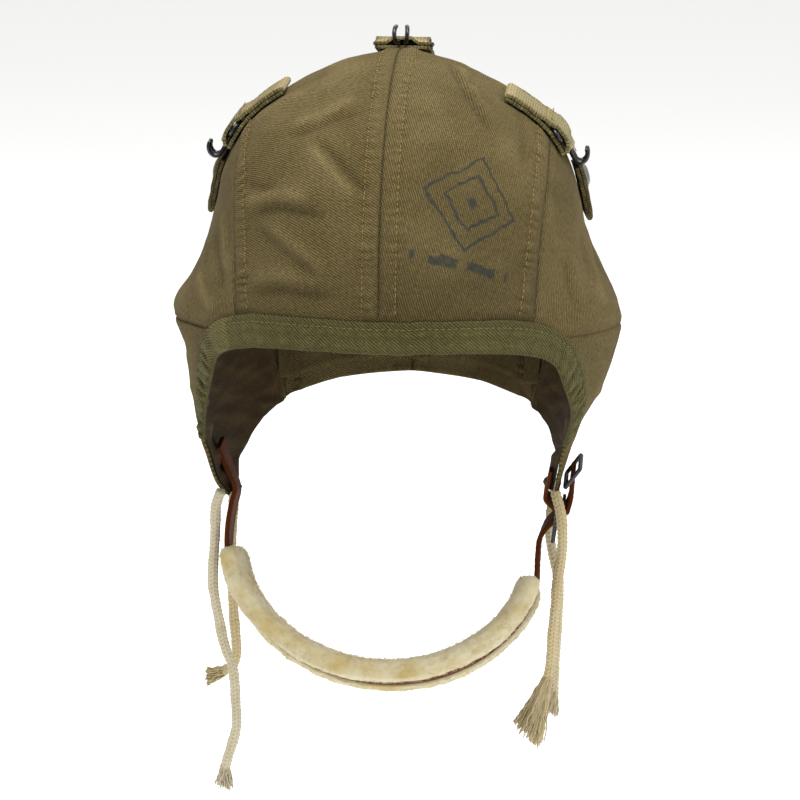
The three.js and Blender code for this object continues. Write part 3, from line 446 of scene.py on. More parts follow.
def tubeRings(points, radius, sides, domed=False):
    p = np.asarray(points, float)
    r = np.broadcast_to(np.asarray(radius, float).reshape(-1, 1) if np.ndim(radius) == 1
                        else np.asarray(radius, float), (len(p), sides + 1)).copy()
    if domed:
        first, last = unit(p[0] - p[1]), unit(p[-1] - p[-2])
        angles = np.radians([88, 66, 44, 22])
        head = np.array([p[0] + first * r[0, 0] * math.sin(a) for a in angles])
        tail = np.array([p[-1] + last * r[-1, 0] * math.sin(a) for a in angles[::-1]])
        r = np.vstack([r[:1] * np.cos(angles)[:, None], r, r[-1:] * np.cos(angles[::-1])[:, None]])
        p = np.vstack([head, p, tail])
    tangents = headings(p)
    side = unit(np.cross(tangents[0], (0.31, 0.87, 0.38)))
    theta = np.linspace(0, math.tau, sides + 1)
    rings = []
    for i in range(len(p)):
        side = unit(side - tangents[i] * np.dot(side, tangents[i]))
        other = np.cross(tangents[i], side)
        rings.append(p[i] + r[i][:, None] * (np.cos(theta)[:, None] * side + np.sin(theta)[:, None] * other))
    rings = np.array(rings)
    rings[:, -1] = rings[:, 0]
    return rings


def stripUvs(across, run):
    # across and along a strip, in millimetres
    shape = (len(run), len(across))
    return np.broadcast_to(across, shape), np.broadcast_to(run[:, None], shape)


def gridUvs(points, mirror=1):
    # the lengths across and down a grid, in millimetres
    across = runLengths(points, 1) * mirror
    return across, np.broadcast_to(runLengths(points, 0).mean(axis=1)[:, None], across.shape)


def ringUvs(rings):
    along = np.broadcast_to(runLengths(rings.mean(axis=1), 0)[:, None], rings.shape[:2])
    around = np.broadcast_to(runLengths(rings[len(rings) // 2], 0)[None, :], rings.shape[:2])
    return around, along


# cords: four yarns braided round a core, 4.8 mm thick
cordLooks = {
    # the between colour is the painted shade between the yarns
    "left_front": {"colour": "#d6cdb3", "handled": "#c4b896", "between": "#a8997a"},
    "left_back": {"colour": "#d0c096", "handled": "#bcaa7c", "between": "#a08d60"},
    "right_front": {"colour": "#cdbd95", "handled": "#b8a577", "between": "#998452"},
    "right_back": {"colour": "#d2c6a4", "handled": "#bdad86", "between": "#a29068"},
}
cordSettings = {"diameter": 4.8, "stitch": 2.1, "columns": 8, "slant": 0.62, "relief": 0.26, "sides": 40,
                "step": 0.34}
# where each cord hangs, from its seam in the flap down to the frayed end
cordRoutes = {
    "left_front": [
        (-81.2, -25.6, -203.2), (-82.8, -25, -207.2), (-84.2, -24, -212), (-84.6, -23.4, -218.5),
        (-85, -22.8, -226), (-85.8, -22.2, -235.5), (-86.5, -21.6, -244.2), (-86.8, -21.2, -252.2),
        (-85.8, -20.9, -261.6), (-84.3, -20.6, -270.2), (-82.9, -20.4, -279.7), (-81, -20.2, -287.2),
        (-78.7, -20.1, -293.8), (-77.5, -20, -301.3), (-77.2, -20, -309.8), (-76.9, -20, -318.9),
        (-77, -20, -327), (-78.9, -20, -335), (-81.1, -20, -342), (-82.9, -20, -348.8)],
    "left_back": [
        (-79.8, 9, -208.4), (-80.2, 8.4, -213), (-80.4, 7, -222), (-80.9, 5.4, -232), (-81.4, 4.4, -243),
        (-81.7, 3.9, -254.5), (-81.1, 3.5, -266.5), (-80.6, 3.2, -279), (-79.9, 3, -289.5),
        (-79.6, 2.8, -297.5), (-81.4, 2.6, -304), (-86.4, 2.4, -307.4)],
    "right_front": [
        (76, -26.4, -198.5), (77.4, -28.4, -203), (78.9, -30.2, -208.6), (79.6, -30.8, -215.6),
        (79.8, -30.6, -223), (79.3, -30, -231), (77.8, -29, -241.4), (76.9, -27.8, -256),
        (75.8, -26.6, -271), (75.1, -25.6, -284), (73.9, -25, -293.5)],
    "right_back": [
        (75, 11, -205.4), (74.2, 10.4, -213), (72.9, 9, -224), (72.9, 7.4, -235), (75.2, 6, -245),
        (77.2, 5, -254.5), (77.6, 4.4, -264), (77, 4, -278), (76.4, 3.6, -294), (75.9, 3.2, -311.5)],
}
# strands start inside the cord's end, within this radius
tuftRoot = {"sunk": 1.6, "radius": 2.1, "points": 10, "coil": 0.35, "batch": 30}
# frayed ends: direction, length, spread at the tips, number and thickness of the strands, curl
frayedEnds = {
    "left_front": {"along": (-0.1, -0.05, -1), "length": 11, "spread": 4.4, "strands": 110, "thick": 0.8,
                   "curl": 1.9},
    "left_back": {"along": (-0.93, 0, -0.36), "length": 10, "spread": 4.2, "strands": 100, "thick": 0.8, "curl": 1.3},
    "right_front": {"along": (-0.3, 0, -0.95), "length": 34, "spread": 8.8, "strands": 230, "thick": 0.9,
                    "curl": 1.7},
    "right_back": {"along": (-0.04, 0, -1), "length": 14, "spread": 3.2, "strands": 90, "thick": 0.8, "curl": 0.8},
}


def makeCord(name):
    route = centripetal(cordRoutes[name], 400)
    length = float(runLengths(route, 0)[-1])
    count = int(length / cordSettings["step"])
    line = evenly(route, count)
    sides = cordSettings["sides"]
    s = np.linspace(0, length, count)[:, None]
    theta = np.linspace(0, math.tau, sides + 1)[None, :]
    # yarns lie in columns along the cord and slant left and right by turns
    column = cordSettings["columns"] / 2 * theta
    slope = np.arccos(np.cos(column)) / math.pi
    yarns = np.cos(math.tau * (s / cordSettings["stitch"] + cordSettings["slant"] * slope))
    height = 0.55 * yarns + 0.9 * np.abs(np.sin(column)) ** 0.6 - 0.55
    around = np.stack(np.broadcast_arrays(np.cos(theta) * 2.4, np.sin(theta) * 2.4, s), axis=2)
    seat = cordSettings["diameter"] / 2 * (0.97 - 0.04 * np.cos(s * 0.21) + 0.03 * np.sin(s * 0.53))
    radius = seat + cordSettings["relief"] * (height + 0.7 * noiseAt(around, 2.6, 6))
    rings = tubeRings(line, radius, sides)
    material = cottonCord(f"braided cotton cord {name.replace('_', ' ')}", cordLooks[name])
    # the braid's height also paints shade between the yarns
    cord = tubePiece(rings, f"braided_cord_{name}", material, f"cord_{name}", {"relief": height})
    tuft = makeTuft(name, line[-1], material)
    [tuple(p * mm) for p in evenly(line, 60)]


def makeTuft(name, start, material):
    look = frayedEnds[name]
    rng = random.Random(11 + len(name) + look["length"])
    axis = unit(np.array(look["along"], float))
    side = unit(np.cross(axis, (0, 1, 0)))
    other = np.cross(axis, side)
    bm, part = bmesh.new(), bmesh.new()
    for k in range(look["strands"]):
        angle, reach = rng.uniform(0, math.tau), math.sqrt(rng.random())
        outward = math.cos(angle) * side + math.sin(angle) * other
        root = start - axis * tuftRoot["sunk"] + outward * reach * tuftRoot["radius"]
        slant = 0.9 + 0.1 * math.cos(angle)  # the brush was cut on a slant
        span = look["length"] * rng.uniform(0.88, 1.0) * slant + tuftRoot["sunk"]
        bend = np.array([rng.uniform(-1, 1) for _ in range(3)]) * look["curl"]
        sway, twist = rng.uniform(0, 6), rng.uniform(0.7, 1.1)
        line = []
        for w in np.linspace(0, 1, tuftRoot["points"]):
            flare = (w ** 1.15) * (look["spread"] - tuftRoot["radius"]) * reach
            wave = bend * math.sin(w * 3 + sway) * w * (1 - 0.4 * w)
            phase = span * w * twist + sway
            coil = tuftRoot["coil"] * (math.cos(phase) * side + math.sin(phase) * other)
            line.append(root + axis * span * w + outward * flare + wave + coil * min(w * 4, 1))
        thick = look["thick"] * rng.uniform(0.75, 1.1) / 2
        rings = tubeRings(np.array(line), thick * np.linspace(1.1, 0.8, tuftRoot["points"]), 4)
        layTube(part, rings, {"relief": np.full(rings.shape[:2], rng.uniform(-0.75, 0.2))})
        if (k + 1) % tuftRoot["batch"] == 0:
            joinInto(bm, part)
            part = bmesh.new()
    joinInto(bm, part)
    return addPiece(bm, f"frayed_strands_{name}", [material], [f"frayed_end_{name}"], closed=True)


for cordName in cordRoutes:
    makeCord(cordName)
print("cords made")

# The head-shaped cloth, in mm and degrees of azimuth from the front. Sections give depth below
# the top, half width, and reach to the front and the back. Swells give azimuth, height, their
# two sizes and how far they stand out. The edge gives azimuth, height and the tape's width.
crown = {
    "top": 1.6,
    "sections": [
        (0, 0, 0, 0), (0.5, 7, 8, 10), (1.5, 12.5, 14, 17), (3.5, 19, 23, 26), (7, 28, 34, 37),
        (12, 39, 45, 49), (18, 50, 56, 60), (25, 60.5, 65, 69.5), (33, 69, 73.5, 78), (43, 75.5, 81, 86),
        (55, 81, 87, 93), (68, 84, 91.5, 98), (82, 87, 94.5, 101), (95, 91.5, 96.5, 102),
        (106, 96.5, 97.5, 101), (116, 100.5, 98, 99.5), (125, 101.5, 98, 98), (138, 99.5, 98, 95),
        (152, 96.5, 97.5, 91.5), (168, 91.5, 96, 87), (184, 86.5, 94, 82.5), (208, 78, 91, 77)],
    "swells": [
        (-88, -117, 26, 9, 2.6), (84, -122, 30, 22, 2.6), (-62, -100, 7, 26, -1.4), (63, -122, 9, 7, -1.6),
        (-70, -16, 50, 13, 2.2), (75, -13, 40, 10, -1.6), (-78, -176, 26, 19, 5.5), (78, -178, 26, 17, -3.6),
        (-78, -200, 24, 13, 5), (88, -198, 12, 10, -2.4)],
    "edge": [
        (0, -112, 13), (12, -112, 13), (24, -113, 13), (33, -115, 13.4), (40, -117.7, 13.4),
        (45, -121, 13), (49, -126, 12.4), (53, -135.5, 11.4), (57.5, -145.5, 10.4), (62, -155, 9.2),
        (66, -166, 7), (69.5, -178, 4.4), (74, -193, 7), (79, -202, 7), (86, -205, 7), (95, -205, 7),
        (106, -200, 7), (122, -190, 7), (138, -182, 7), (156, -178, 7), (180, -176, 7)],
    "tapeEnd": 68.5,
    "flapSeam": [(46, -112), (55, -114), (62, -115.5), (75, -118.5), (90, -122.5), (110, -131), (135, -142)],
    "flapBack": 132, "flapFoot": 82,
    "leftFoot": {"drop": 6, "from": 71.5, "fade": 5, "to": 88, "fadeOut": 14},
    "sideSeam": [(-200, 60), (-136, 64), (-112, 65.5), (-100, 66.3), (-78, 67.4), (-56, 69), (-45, 70),
                 (-30, 70), (-14, 68.5), (6, 66.5)],
    "wall": 1.45, "gap": 0.3,
    "degrees": 0.62,  # of azimuth for a millimetre of cloth at the flap
    "round": 92, "rise": 98,  # radii that spread the side panel's pattern in millimetres
}


def readTable(xs, ys, at):
    xs, ys, at = np.asarray(xs, float), np.asarray(ys, float), np.asarray(at, float)
    last = len(xs) - 1
    ahead, behind = np.minimum(np.arange(last + 1) + 1, last), np.maximum(np.arange(last + 1) - 1, 0)
    slopes = (ys[ahead] - ys[behind]) / (xs[ahead] - xs[behind])
    low = np.clip(np.searchsorted(xs, at, side="right") - 1, 0, last - 1)
    span = xs[low + 1] - xs[low]
    s = np.clip((at - xs[low]) / span, 0, 1)
    return ((2 * s ** 3 - 3 * s ** 2 + 1) * ys[low] + (s ** 3 - 2 * s ** 2 + s) * span * slopes[low]
            + (3 * s ** 2 - 2 * s ** 3) * ys[low + 1] + (s ** 3 - s ** 2) * span * slopes[low + 1])


sectionTable = np.array(crown["sections"], float)
sectionRoots = np.sqrt(sectionTable[:, 0])
edgeTable = np.array(crown["edge"], float)
seamTable = np.array(crown["flapSeam"], float)
sideTable = np.array(crown["sideSeam"], float)


def reachAt(z):
    root = np.sqrt(np.maximum(crown["top"] - np.asarray(z, float), 0))
    return [np.maximum(readTable(sectionRoots, sectionTable[:, k], root), 1e-3) for k in (1, 2, 3)]


def swellAt(azimuth, z):
    total = 0
    for at, height, across, along, out in crown["swells"]:
        turn = (np.asarray(azimuth) - at + 540) % 360 - 180
        total = total + out * np.exp(-(turn / across) ** 2 - ((z - height) / along) ** 2)
    return total


def outerPoint(azimuth, z):
    azimuth, z = np.broadcast_arrays(np.asarray(azimuth, float), np.asarray(z, float))
    side, front, back = reachAt(z)
    s, c = np.sin(np.radians(azimuth)), np.cos(np.radians(azimuth))
    swell = swellAt(azimuth, z)
    return np.stack([(side + swell) * s, -(np.where(c > 0, front, back) + swell) * c, z], axis=-1)


def perTurn(azimuth, z):
    return outerPoint(azimuth + 0.5, z) - outerPoint(azimuth - 0.5, z)


def outerNormal(azimuth, z):
    low = np.minimum(z, crown["top"] - 0.3)
    drop = outerPoint(azimuth, low - 0.25) - outerPoint(azimuth, low + 0.25)
    return unit(np.cross(drop, perTurn(azimuth, low)))


def halfAxes(y, z):
    # the cloth's half width, and its reach on this side of the middle
    side, front, back = reachAt(z)
    return side, np.where(y < 0, front, back)


def azimuthOf(points):
    # azimuth of points on the cloth, found in a few rounds because the swell depends on it
    x, y, z = np.moveaxis(np.asarray(points), -1, 0)
    side, forward = halfAxes(y, z)
    azimuth = np.degrees(np.arctan2(x / side, -y / forward))
    for _ in range(3):
        swell = swellAt(azimuth, z)
        azimuth = np.degrees(np.arctan2(x / (side + swell), -y / (forward + swell)))
    return azimuth


def openingZ(azimuth):
    return readTable(edgeTable[:, 0], edgeTable[:, 1], np.abs(azimuth))


def tapeLine(azimuth, extra=0.0):
    # upper edge of the tape: its width up from the opening's edge, square to it on the surface
    azimuth = np.asarray(azimuth, float)
    z = openingZ(azimuth)
    width = readTable(edgeTable[:, 0], edgeTable[:, 2], azimuth) + extra
    ahead, behind = (outerPoint(azimuth + step, openingZ(azimuth + step)) for step in (0.5, -0.5))
    up = unit(np.cross(ahead - behind, outerNormal(azimuth, z)))
    up = up * np.where(up[..., 2:] < 0, -1, 1)
    turn, rise = perTurn(azimuth, z), outerPoint(azimuth, z + 0.5) - outerPoint(azimuth, z - 0.5)
    shift = up * width[..., None]
    uu, vv, uv, st, sr = ((a * b).sum(-1) for a, b in (
        (turn, turn), (rise, rise), (turn, rise), (shift, turn), (shift, rise)))
    det = uu * vv - uv * uv
    return azimuth + (st * vv - sr * uv) / det, z + (sr * uu - st * uv) / det


tapeTurns, tapeHeights = tapeLine(np.arange(0, crown["tapeEnd"] + 0.01, 1.5), 0.6)
bareEdge = edgeTable[edgeTable[:, 0] > tapeTurns[-1] + 0.5]
clothTurns = np.concatenate([tapeTurns, bareEdge[:, 0]])
clothHeights = np.concatenate([tapeHeights, bareEdge[:, 1]])


def clothEdgeZ(azimuth):
    return np.interp(np.abs(azimuth), clothTurns, clothHeights)


def flapSeamZ(azimuth):
    return readTable(seamTable[:, 0], seamTable[:, 1], np.abs(azimuth))


seamCorner = next(a for a in np.arange(46, 60, 0.05) if clothEdgeZ(a) <= flapSeamZ(a))


def crownBottomZ(azimuth):
    turn = np.abs(azimuth)
    return np.where((turn < seamCorner) | (turn > crown["flapBack"]), clothEdgeZ(turn), flapSeamZ(turn))


def sideSeamX(z):
    return readTable(sideTable[:, 0], sideTable[:, 1], np.clip(z, -200, 6))


def seamArch(mirror):
    # the seam between centre and side panel, from the brow over the top and down to the nape
    heights = -33.5 - 142 * np.linspace(0, 1, 700) ** 1.6
    side = reachAt(heights)[0]
    x = sideSeamX(heights)
    front = np.full_like(heights, 80.0)
    back = np.full_like(heights, 100.0)
    for _ in range(6):
        front = np.degrees(np.arcsin(np.clip(x / (side + swellAt(front * mirror, heights)), -1, 1)))
        back = 180 - np.degrees(np.arcsin(np.clip(x / (side + swellAt(back * mirror, heights)), -1, 1)))
    ahead = outerPoint(front * mirror, heights)[heights > clothEdgeZ(front) - 3][::-1]
    behind = outerPoint(back * mirror, heights)[heights > clothEdgeZ(back)]
    return evenly(np.vstack([ahead, behind]), 500)


def surfaceFrom(y, z, mirror):
    # point of the side panel over a place in the side view
    forward = halfAxes(y, z)[1]
    azimuth = np.full_like(y, 90.0)
    for _ in range(5):
        swell = swellAt(azimuth * mirror, z)
        azimuth = np.degrees(np.arccos(np.clip(-y / (forward + swell), -1, 1)))
    return outerPoint(azimuth * mirror, z)


def centreGrid(mirror, columns=62, rows=330):
    turns = np.radians(np.linspace(-14, 244, 900))[:, None]
    share = np.linspace(0, 1, columns + 1)[None, :]
    low, high = np.full((900, columns + 1), 30.0), np.full((900, columns + 1), 160.0)

    def place(r):
        y, z = -r * np.cos(turns), -110 + r * np.sin(turns)
        x = (-0.2 + (sideSeamX(z) + 0.4) * share) * mirror  # panels meet inside the seam's groove
        return x, y, z

    for _ in range(30):
        mid = (low + high) / 2
        x, y, z = place(mid)
        side, forward = halfAxes(y, z)
        azimuth = np.degrees(np.arctan2(x / side, -y / forward))
        swell = swellAt(azimuth, z)
        outside = (x / (side + swell)) ** 2 + (y / (forward + swell)) ** 2 > 1
        outside |= z >= crown["top"] - 1e-4
        low, high = np.where(outside, low, mid), np.where(outside, mid, high)
    x, y, z = place((low + high) / 2)
    dense = np.stack([x, y, z], axis=2)
    bottom = crownBottomZ(azimuthOf(dense)) - np.where(y < 0, 2.0, 0.0)  # the brow runs on under the tape
    out = np.zeros((rows + 1, columns + 1, 3))
    for c in range(columns + 1):
        keep = np.flatnonzero(z[:, c] > bottom[:, c])
        first, last = keep[0], keep[-1]
        line = dense[first:last + 1, c]
        ends = []
        for inner, outer in ((first, first - 1), (last, last + 1)):
            a, b = z[inner, c] - bottom[inner, c], z[outer, c] - bottom[outer, c]
            ends.append(dense[inner, c] + (dense[outer, c] - dense[inner, c]) * a / (a - b))
        out[:, c] = evenly(np.vstack([ends[0], line, ends[1]]), rows + 1)
    return out


def relaxed(grid, rounds=1500):
    # evens the lines of a flat grid inside its edge, so that none cross at an inner corner
    for _ in range(rounds):
        along = (grid[1:-1, 2:] - grid[1:-1, :-2]) / 2
        down = (grid[2:, 1:-1] - grid[:-2, 1:-1]) / 2
        alpha, gamma = (down ** 2).sum(-1)[..., None], (along ** 2).sum(-1)[..., None]
        beta = (along * down).sum(-1)[..., None]
        twist = grid[2:, 2:] - grid[:-2, 2:] - grid[2:, :-2] + grid[:-2, :-2]
        goal = (alpha * (grid[1:-1, 2:] + grid[1:-1, :-2]) + gamma * (grid[2:, 1:-1] + grid[:-2, 1:-1])
                - beta / 2 * twist) / (2 * (alpha + gamma))
        grid[1:-1, 1:-1] += 0.5 * (goal - grid[1:-1, 1:-1])
    return grid


def sideGrid(mirror, columns=96, rows=84):
    arch = seamArch(mirror)
    arch[:, 0] -= 0.15 * mirror
    cuts = (int(len(arch) * 0.27), int(len(arch) * 0.66))
    left, top, right = arch[:cuts[0] + 1][::-1], arch[cuts[0]:cuts[1] + 1], arch[cuts[1]:]
    ends = [abs(float(azimuthOf(arch[k]))) for k in (0, -1)]
    turns = np.linspace(ends[0], ends[1], 400)
    heights = crownBottomZ(turns) - np.where(turns < seamCorner, 2.0, 0.0)
    low = evenly(outerPoint(turns * mirror, heights), columns + 1)[:, 1:]
    left, right = evenly(left, rows + 1)[:, 1:], evenly(right, rows + 1)[:, 1:]
    top = evenly(top, columns + 1)[:, 1:]
    low[0], low[-1] = left[-1], right[-1]
    u, v = np.linspace(0, 1, columns + 1)[None, :, None], np.linspace(0, 1, rows + 1)[:, None, None]
    flat = ((1 - v) * top[None] + v * low[None] + (1 - u) * left[:, None] + u * right[:, None]
            - ((1 - u) * (1 - v) * top[0] + u * (1 - v) * top[-1] + (1 - u) * v * low[0] + u * v * low[-1]))
    flat[40:, 50:] = relaxed(flat[40:, 50:].copy())  # round the corner behind the flap
    return surfaceFrom(flat[..., 0], flat[..., 1], mirror)


def flapEdgeZ(azimuth, mirror):
    foot = crown["leftFoot"]
    share = plateau(azimuth, foot["from"], foot["fade"], foot["to"], foot["fadeOut"])
    return clothEdgeZ(azimuth) - (foot["drop"] * share if mirror < 0 else 0)


def flapGrid(mirror, inset=0.0, lap=0.0, columns=84, rows=96):
    backTurn = crown["flapBack"] + (lap - crown["gap"] - inset) * crown["degrees"]
    search = np.arange(seamCorner, crown["flapFoot"], 0.02)
    edges = flapEdgeZ(search, mirror)
    footZ = float(flapEdgeZ(crown["flapFoot"], mirror)) + inset
    drop = 0.35 + inset - lap
    cornerZ = float(flapSeamZ(seamCorner)) - drop
    u, v = np.linspace(0, 1, columns + 1)[None, :], np.linspace(0, 1, rows + 1)[:, None]
    frontZ = cornerZ + (footZ - cornerZ) * v
    hits = [search[np.argmax(edges <= z)] if (edges <= z).any() else crown["flapFoot"] for z in frontZ[:, 0]]
    frontTurn = np.array(hits)[:, None] + inset * crown["degrees"]
    backTop, backLow = float(flapSeamZ(backTurn)) - drop, float(flapEdgeZ(backTurn, mirror)) + inset
    backZ = backTop + (backLow - backTop) * v
    topTurn = frontTurn[0] + (backTurn - frontTurn[0]) * u
    topZ = flapSeamZ(topTurn) - drop
    lowTurn = frontTurn[-1] + (backTurn - frontTurn[-1]) * u
    lowZ = flapEdgeZ(lowTurn, mirror) + inset

    def blend(left, right, top, low):
        return (left + (right - left) * u + top + (low - top) * v
                - ((top[:, :1] + (top[:, -1:] - top[:, :1]) * u) * (1 - v)
                   + (low[:, :1] + (low[:, -1:] - low[:, :1]) * u) * v))

    azimuth = blend(frontTurn, np.full_like(frontTurn, backTurn), topTurn, lowTurn)
    z = blend(frontZ, backZ, topZ, lowZ)
    return azimuth * mirror, z


def nearLine(points, line):
    # distance from each point to a line of close points, and how far along it that is
    flat = points.reshape(-1, 3)
    square = (flat ** 2).sum(1)[:, None] + (line ** 2).sum(1)[None] - 2 * flat @ line.T
    nearest = square.argmin(1)
    lengths = runLengths(line, 0)
    distance = np.sqrt(np.maximum(square[np.arange(len(flat)), nearest], 0))
    return distance.reshape(points.shape[:-1]), lengths[nearest].reshape(points.shape[:-1])


# creases and ridges of the worn cloth: points in mm, height (below 0 a crease), width
folds = [
    ([(-66, -52, -57), (-58, -61, -54), (-48, -68, -50), (-39, -74, -49), (-29, -79, -51)], 1.5, 4.2),
    ([(-62, -60, -62), (-54, -66, -57), (-46, -72, -54), (-34, -79, -54), (-18, -84, -57)], -1.5, 3.4),
    ([(-32, -58, -25), (-21, -71, -32), (-13, -78, -39), (-7, -81, -43), (-1, -83, -46)], -1.5, 3.2),
    ([(-36, -60, -28), (-25, -72, -36), (-16, -80, -43), (-9, -83, -49)], 1.3, 4.2),
    ([(-62, -72, -95), (-53, -77, -91), (-45, -83, -88), (-33, -89, -88), (-15, -94, -88)], -1.3, 3.2),
    ([(-61, -71, -88), (-47, -80, -83), (-35, -87, -82), (-20, -91, -82)], 1.2, 4.6),
    ([(-60, -65, -64), (-47, -76, -69), (-35, -85, -76), (-24, -91, -84)], -1.1, 4.0),
    ([(-56, -67, -60), (-43, -79, -66), (-31, -87, -73), (-19, -91, -80)], 0.9, 4.6),
    ([(-46, -46, -25), (-30, -50, -18), (-19, -45, -13), (-10, -44, -11)], 1.2, 4.0),
    ([(-48, -51, -28), (-32, -54, -22), (-19, -53, -16), (-8, -52, -14)], -1.1, 3.2),
    ([(-66, -14, -28), (-56, -24, -22), (-47, -24, -16), (-35, -28, -12)], 0.9, 4.6),
    ([(-64, -50, -48), (-55, -61, -48), (-46, -65, -46)], -0.9, 2.2),
    ([(22, 6, -3), (31, -18, -9), (37, -31, -15), (43, -41, -21), (47, -50, -29)], -1.6, 2.4),
    ([(27, 10, -5), (35, -14, -9), (42, -27, -14), (49, -38, -22)], 1.1, 3.6),
    ([(54, -6, -20), (59, -27, -27), (60, -39, -33), (58, -50, -44)], -1.0, 3.6),
    ([(20, -93, -90), (39, -86, -86), (56, -75, -93)], -0.5, 5.0),
    ([(24, -89, -72), (40, -84, -74), (58, -70, -80)], 0.5, 6.0),
    ([(79, -40, -82), (81, -45, -93), (83, -48, -104)], -0.9, 2.8),
    ([(83, -34, -80), (87, -38, -93), (88, -42, -106)], 0.6, 4.6),
    ([(72, -40, -50), (74, -46, -66), (76, -48, -80)], 0.9, 4.0),
    ([(87, 0, -78), (93, -14, -97), (96, -30, -114)], 0.6, 6.0),
    ([(86, -12, -72), (90, -20, -88), (93, -32, -104)], -0.9, 4.0),
    ([(84, 14, -62), (91, 10, -84), (97, 2, -108)], -0.9, 5.0),
    ([(84, 30, -70), (90, 30, -92), (94, 26, -116)], 0.9, 6.0),
    ([(96, -34, -126), (99, -20, -131), (100, -4, -134)], -1.2, 3.4),
    ([(90, -34, -140), (94, -22, -150), (96, -6, -156)], 0.9, 5.0),
    ([(84, -36, -160), (90, -22, -168), (92, -4, -170)], -0.8, 4.2),
    ([(-82, -27, -77), (-78, -43, -87), (-72, -62, -97)], -1.2, 3.0),
    ([(-78, -33, -63), (-75, -45, -76), (-70, -61, -90)], 1.1, 3.8),
    ([(-90, -24, -95), (-83, -45, -102), (-75, -62, -108)], 1.2, 4.2),
    ([(-86, -20, -84), (-84, -38, -97), (-77, -58, -105)], -0.9, 3.0),
    ([(-84, 4, -60), (-90, -4, -84), (-96, -12, -104)], -0.9, 5.0),
    ([(-84, 26, -66), (-92, 22, -92), (-97, 14, -114)], 0.9, 6.0),
    ([(-101, -14, -116), (-101, 4, -118), (-98, 24, -121)], 1.4, 4.0),
    ([(-96, -32, -130), (-99, -16, -134), (-99, 4, -137)], -1.4, 4.0),
    ([(-93, -30, -150), (-96, -14, -156), (-95, 8, -160)], 1.0, 5.5),
    ([(-90, -28, -172), (-94, -12, -178), (-92, 8, -180)], -1.0, 4.5),
    ([(40, 78, -60), (20, 92, -66), (4, 96, -66)], -1.0, 4.6),
    ([(-44, 76, -62), (-22, 90, -72), (-5, 97, -74)], -1.0, 4.6),
    ([(50, 78, -112), (28, 92, -120), (5, 98, -118)], -1.1, 4.4),
    ([(-52, 78, -118), (-30, 91, -128), (-6, 96, -130)], -1.1, 4.4),
    ([(54, 70, -134), (32, 86, -142), (8, 92, -146)], 1.0, 5.0),
    ([(-52, 70, -146), (-30, 84, -152), (-8, 88, -156)], 1.0, 5.0),
    ([(30, 20, -4), (40, 34, -14), (44, 48, -26)], -0.9, 4.0),
    ([(-26, 30, -5), (-38, 40, -16), (-46, 50, -28)], -0.9, 4.0),
]


def foldRelief(points):
    height = np.zeros(points.shape[:-1])
    for line, lift, width in folds:
        path = evenly(centripetal(line, 40), 60)
        distance, along = nearLine(points, path)
        share = along / runLengths(path, 0)[-1]
        taper = np.sqrt(np.clip(np.minimum(share, 1 - share) * 3.2, 0, 1)) * 0.85 + 0.15
        ends = smoothStep(np.minimum(share, 1 - share) * 4)
        height += 1.35 * lift * np.maximum(ends, 0.25 * taper) * np.exp(-(distance / width / 0.86) ** 1.5)
    return height


def seamRelief(points, line, topstitch, pucker, seed, raised=0.55, groove=0.8):
    # cloth turned under beside a seam: a groove at the seam, then a double layer that ends at
    # the topstitch, with short puckers drawn up by the thread
    distance, along = nearLine(points, line)
    height = -groove * bell(distance, 0.7)
    jitter = np.array([wobble(a / 14, seed) for a in along.reshape(-1)]).reshape(along.shape)
    wave = np.sin(math.tau * along / 4.6 + jitter * 9) * (0.7 + 1.0 * jitter)
    if topstitch:
        height += raised * (1 - smoothStep((distance - topstitch + 0.6) / 1.6))
        height -= 0.45 * bell(distance - topstitch, 0.75)
        spread = np.where(distance < topstitch, 3.6, 3.0)
        height += pucker * wave * bell(distance - topstitch * 0.86, spread)
    else:
        height += pucker * wave * bell(distance, 5)
        height += 0.35 * bell(distance - 2.6, 1.6)
    return height, distance


def softRelief(points, seed):
    broad = noiseAt(points, 38, seed) * 1.3
    middle = noiseAt(points, 15, seed + 3) * 0.6
    fine = noiseAt(points, 5.5, seed + 5) * 0.16
    return broad + middle + fine


mirrors = {"left": -1, "right": 1}
archLines = {mirror: seamArch(mirror) for mirror in mirrors.values()}
print("cloth surface ready")

# brown olive drab twill, faded and rubbed pale on the folds
twillLook = {"colour": "#73643d", "dark": "#483e26", "light": "#8f7e57", "faded": "#7c6e48", "soilAndShade": "#39311d",
             "pitch": 1.0, "pick": 0.8, "pickShare": 0.3, "patch": 0.45, "rubbed": 0.34, "bump": 0.9,
             "roughness": 0.95, "sheen": 0.02, "rib": -30, "cross": 62}
inkLook = {"u": 44.0, "v": 62.0, "turn": 0.16, "halfWidth": 22.5, "halfHeight": 21.5, "strength": 0.93,
           "outlines": ((1.0, 0.06), (0.6, 0.055), (0.0, 0.2)), "dashDrop": 28.0, "dashReach": 24.0,
           "colour": "#2f3538"}
stitching = {"pitch": 2.6, "length": 2.0, "thick": 0.54, "centre": 7.5, "side": 8.0}

threadTan = sewingThread("mercerised cotton thread, tan", {"light": "#9f7f42", "dark": "#755a2a"})
threadOlive = sewingThread("mercerised cotton thread, olive", {"light": "#7d7342", "dark": "#575029"})
innerTwill = wovenCloth("cotton twill, inner face", {**twillLook, "colour": "#675a38", "dark": "#453b23",
                                                     "rib": 40, "cross": -50})


def lineAt(points, normals, distances, target):
    # where each row of the cloth is this far from a seam
    spots, facing = [], []
    for row, normal, apart in zip(points, normals, distances):
        order = np.argsort(apart)
        place = np.interp(target, apart[order], order.astype(float))
        at = np.arange(len(row))
        spots.append(readAlong(place, at, row))
        facing.append(readAlong(place, at, normal))
    return np.array(spots), np.array(facing)


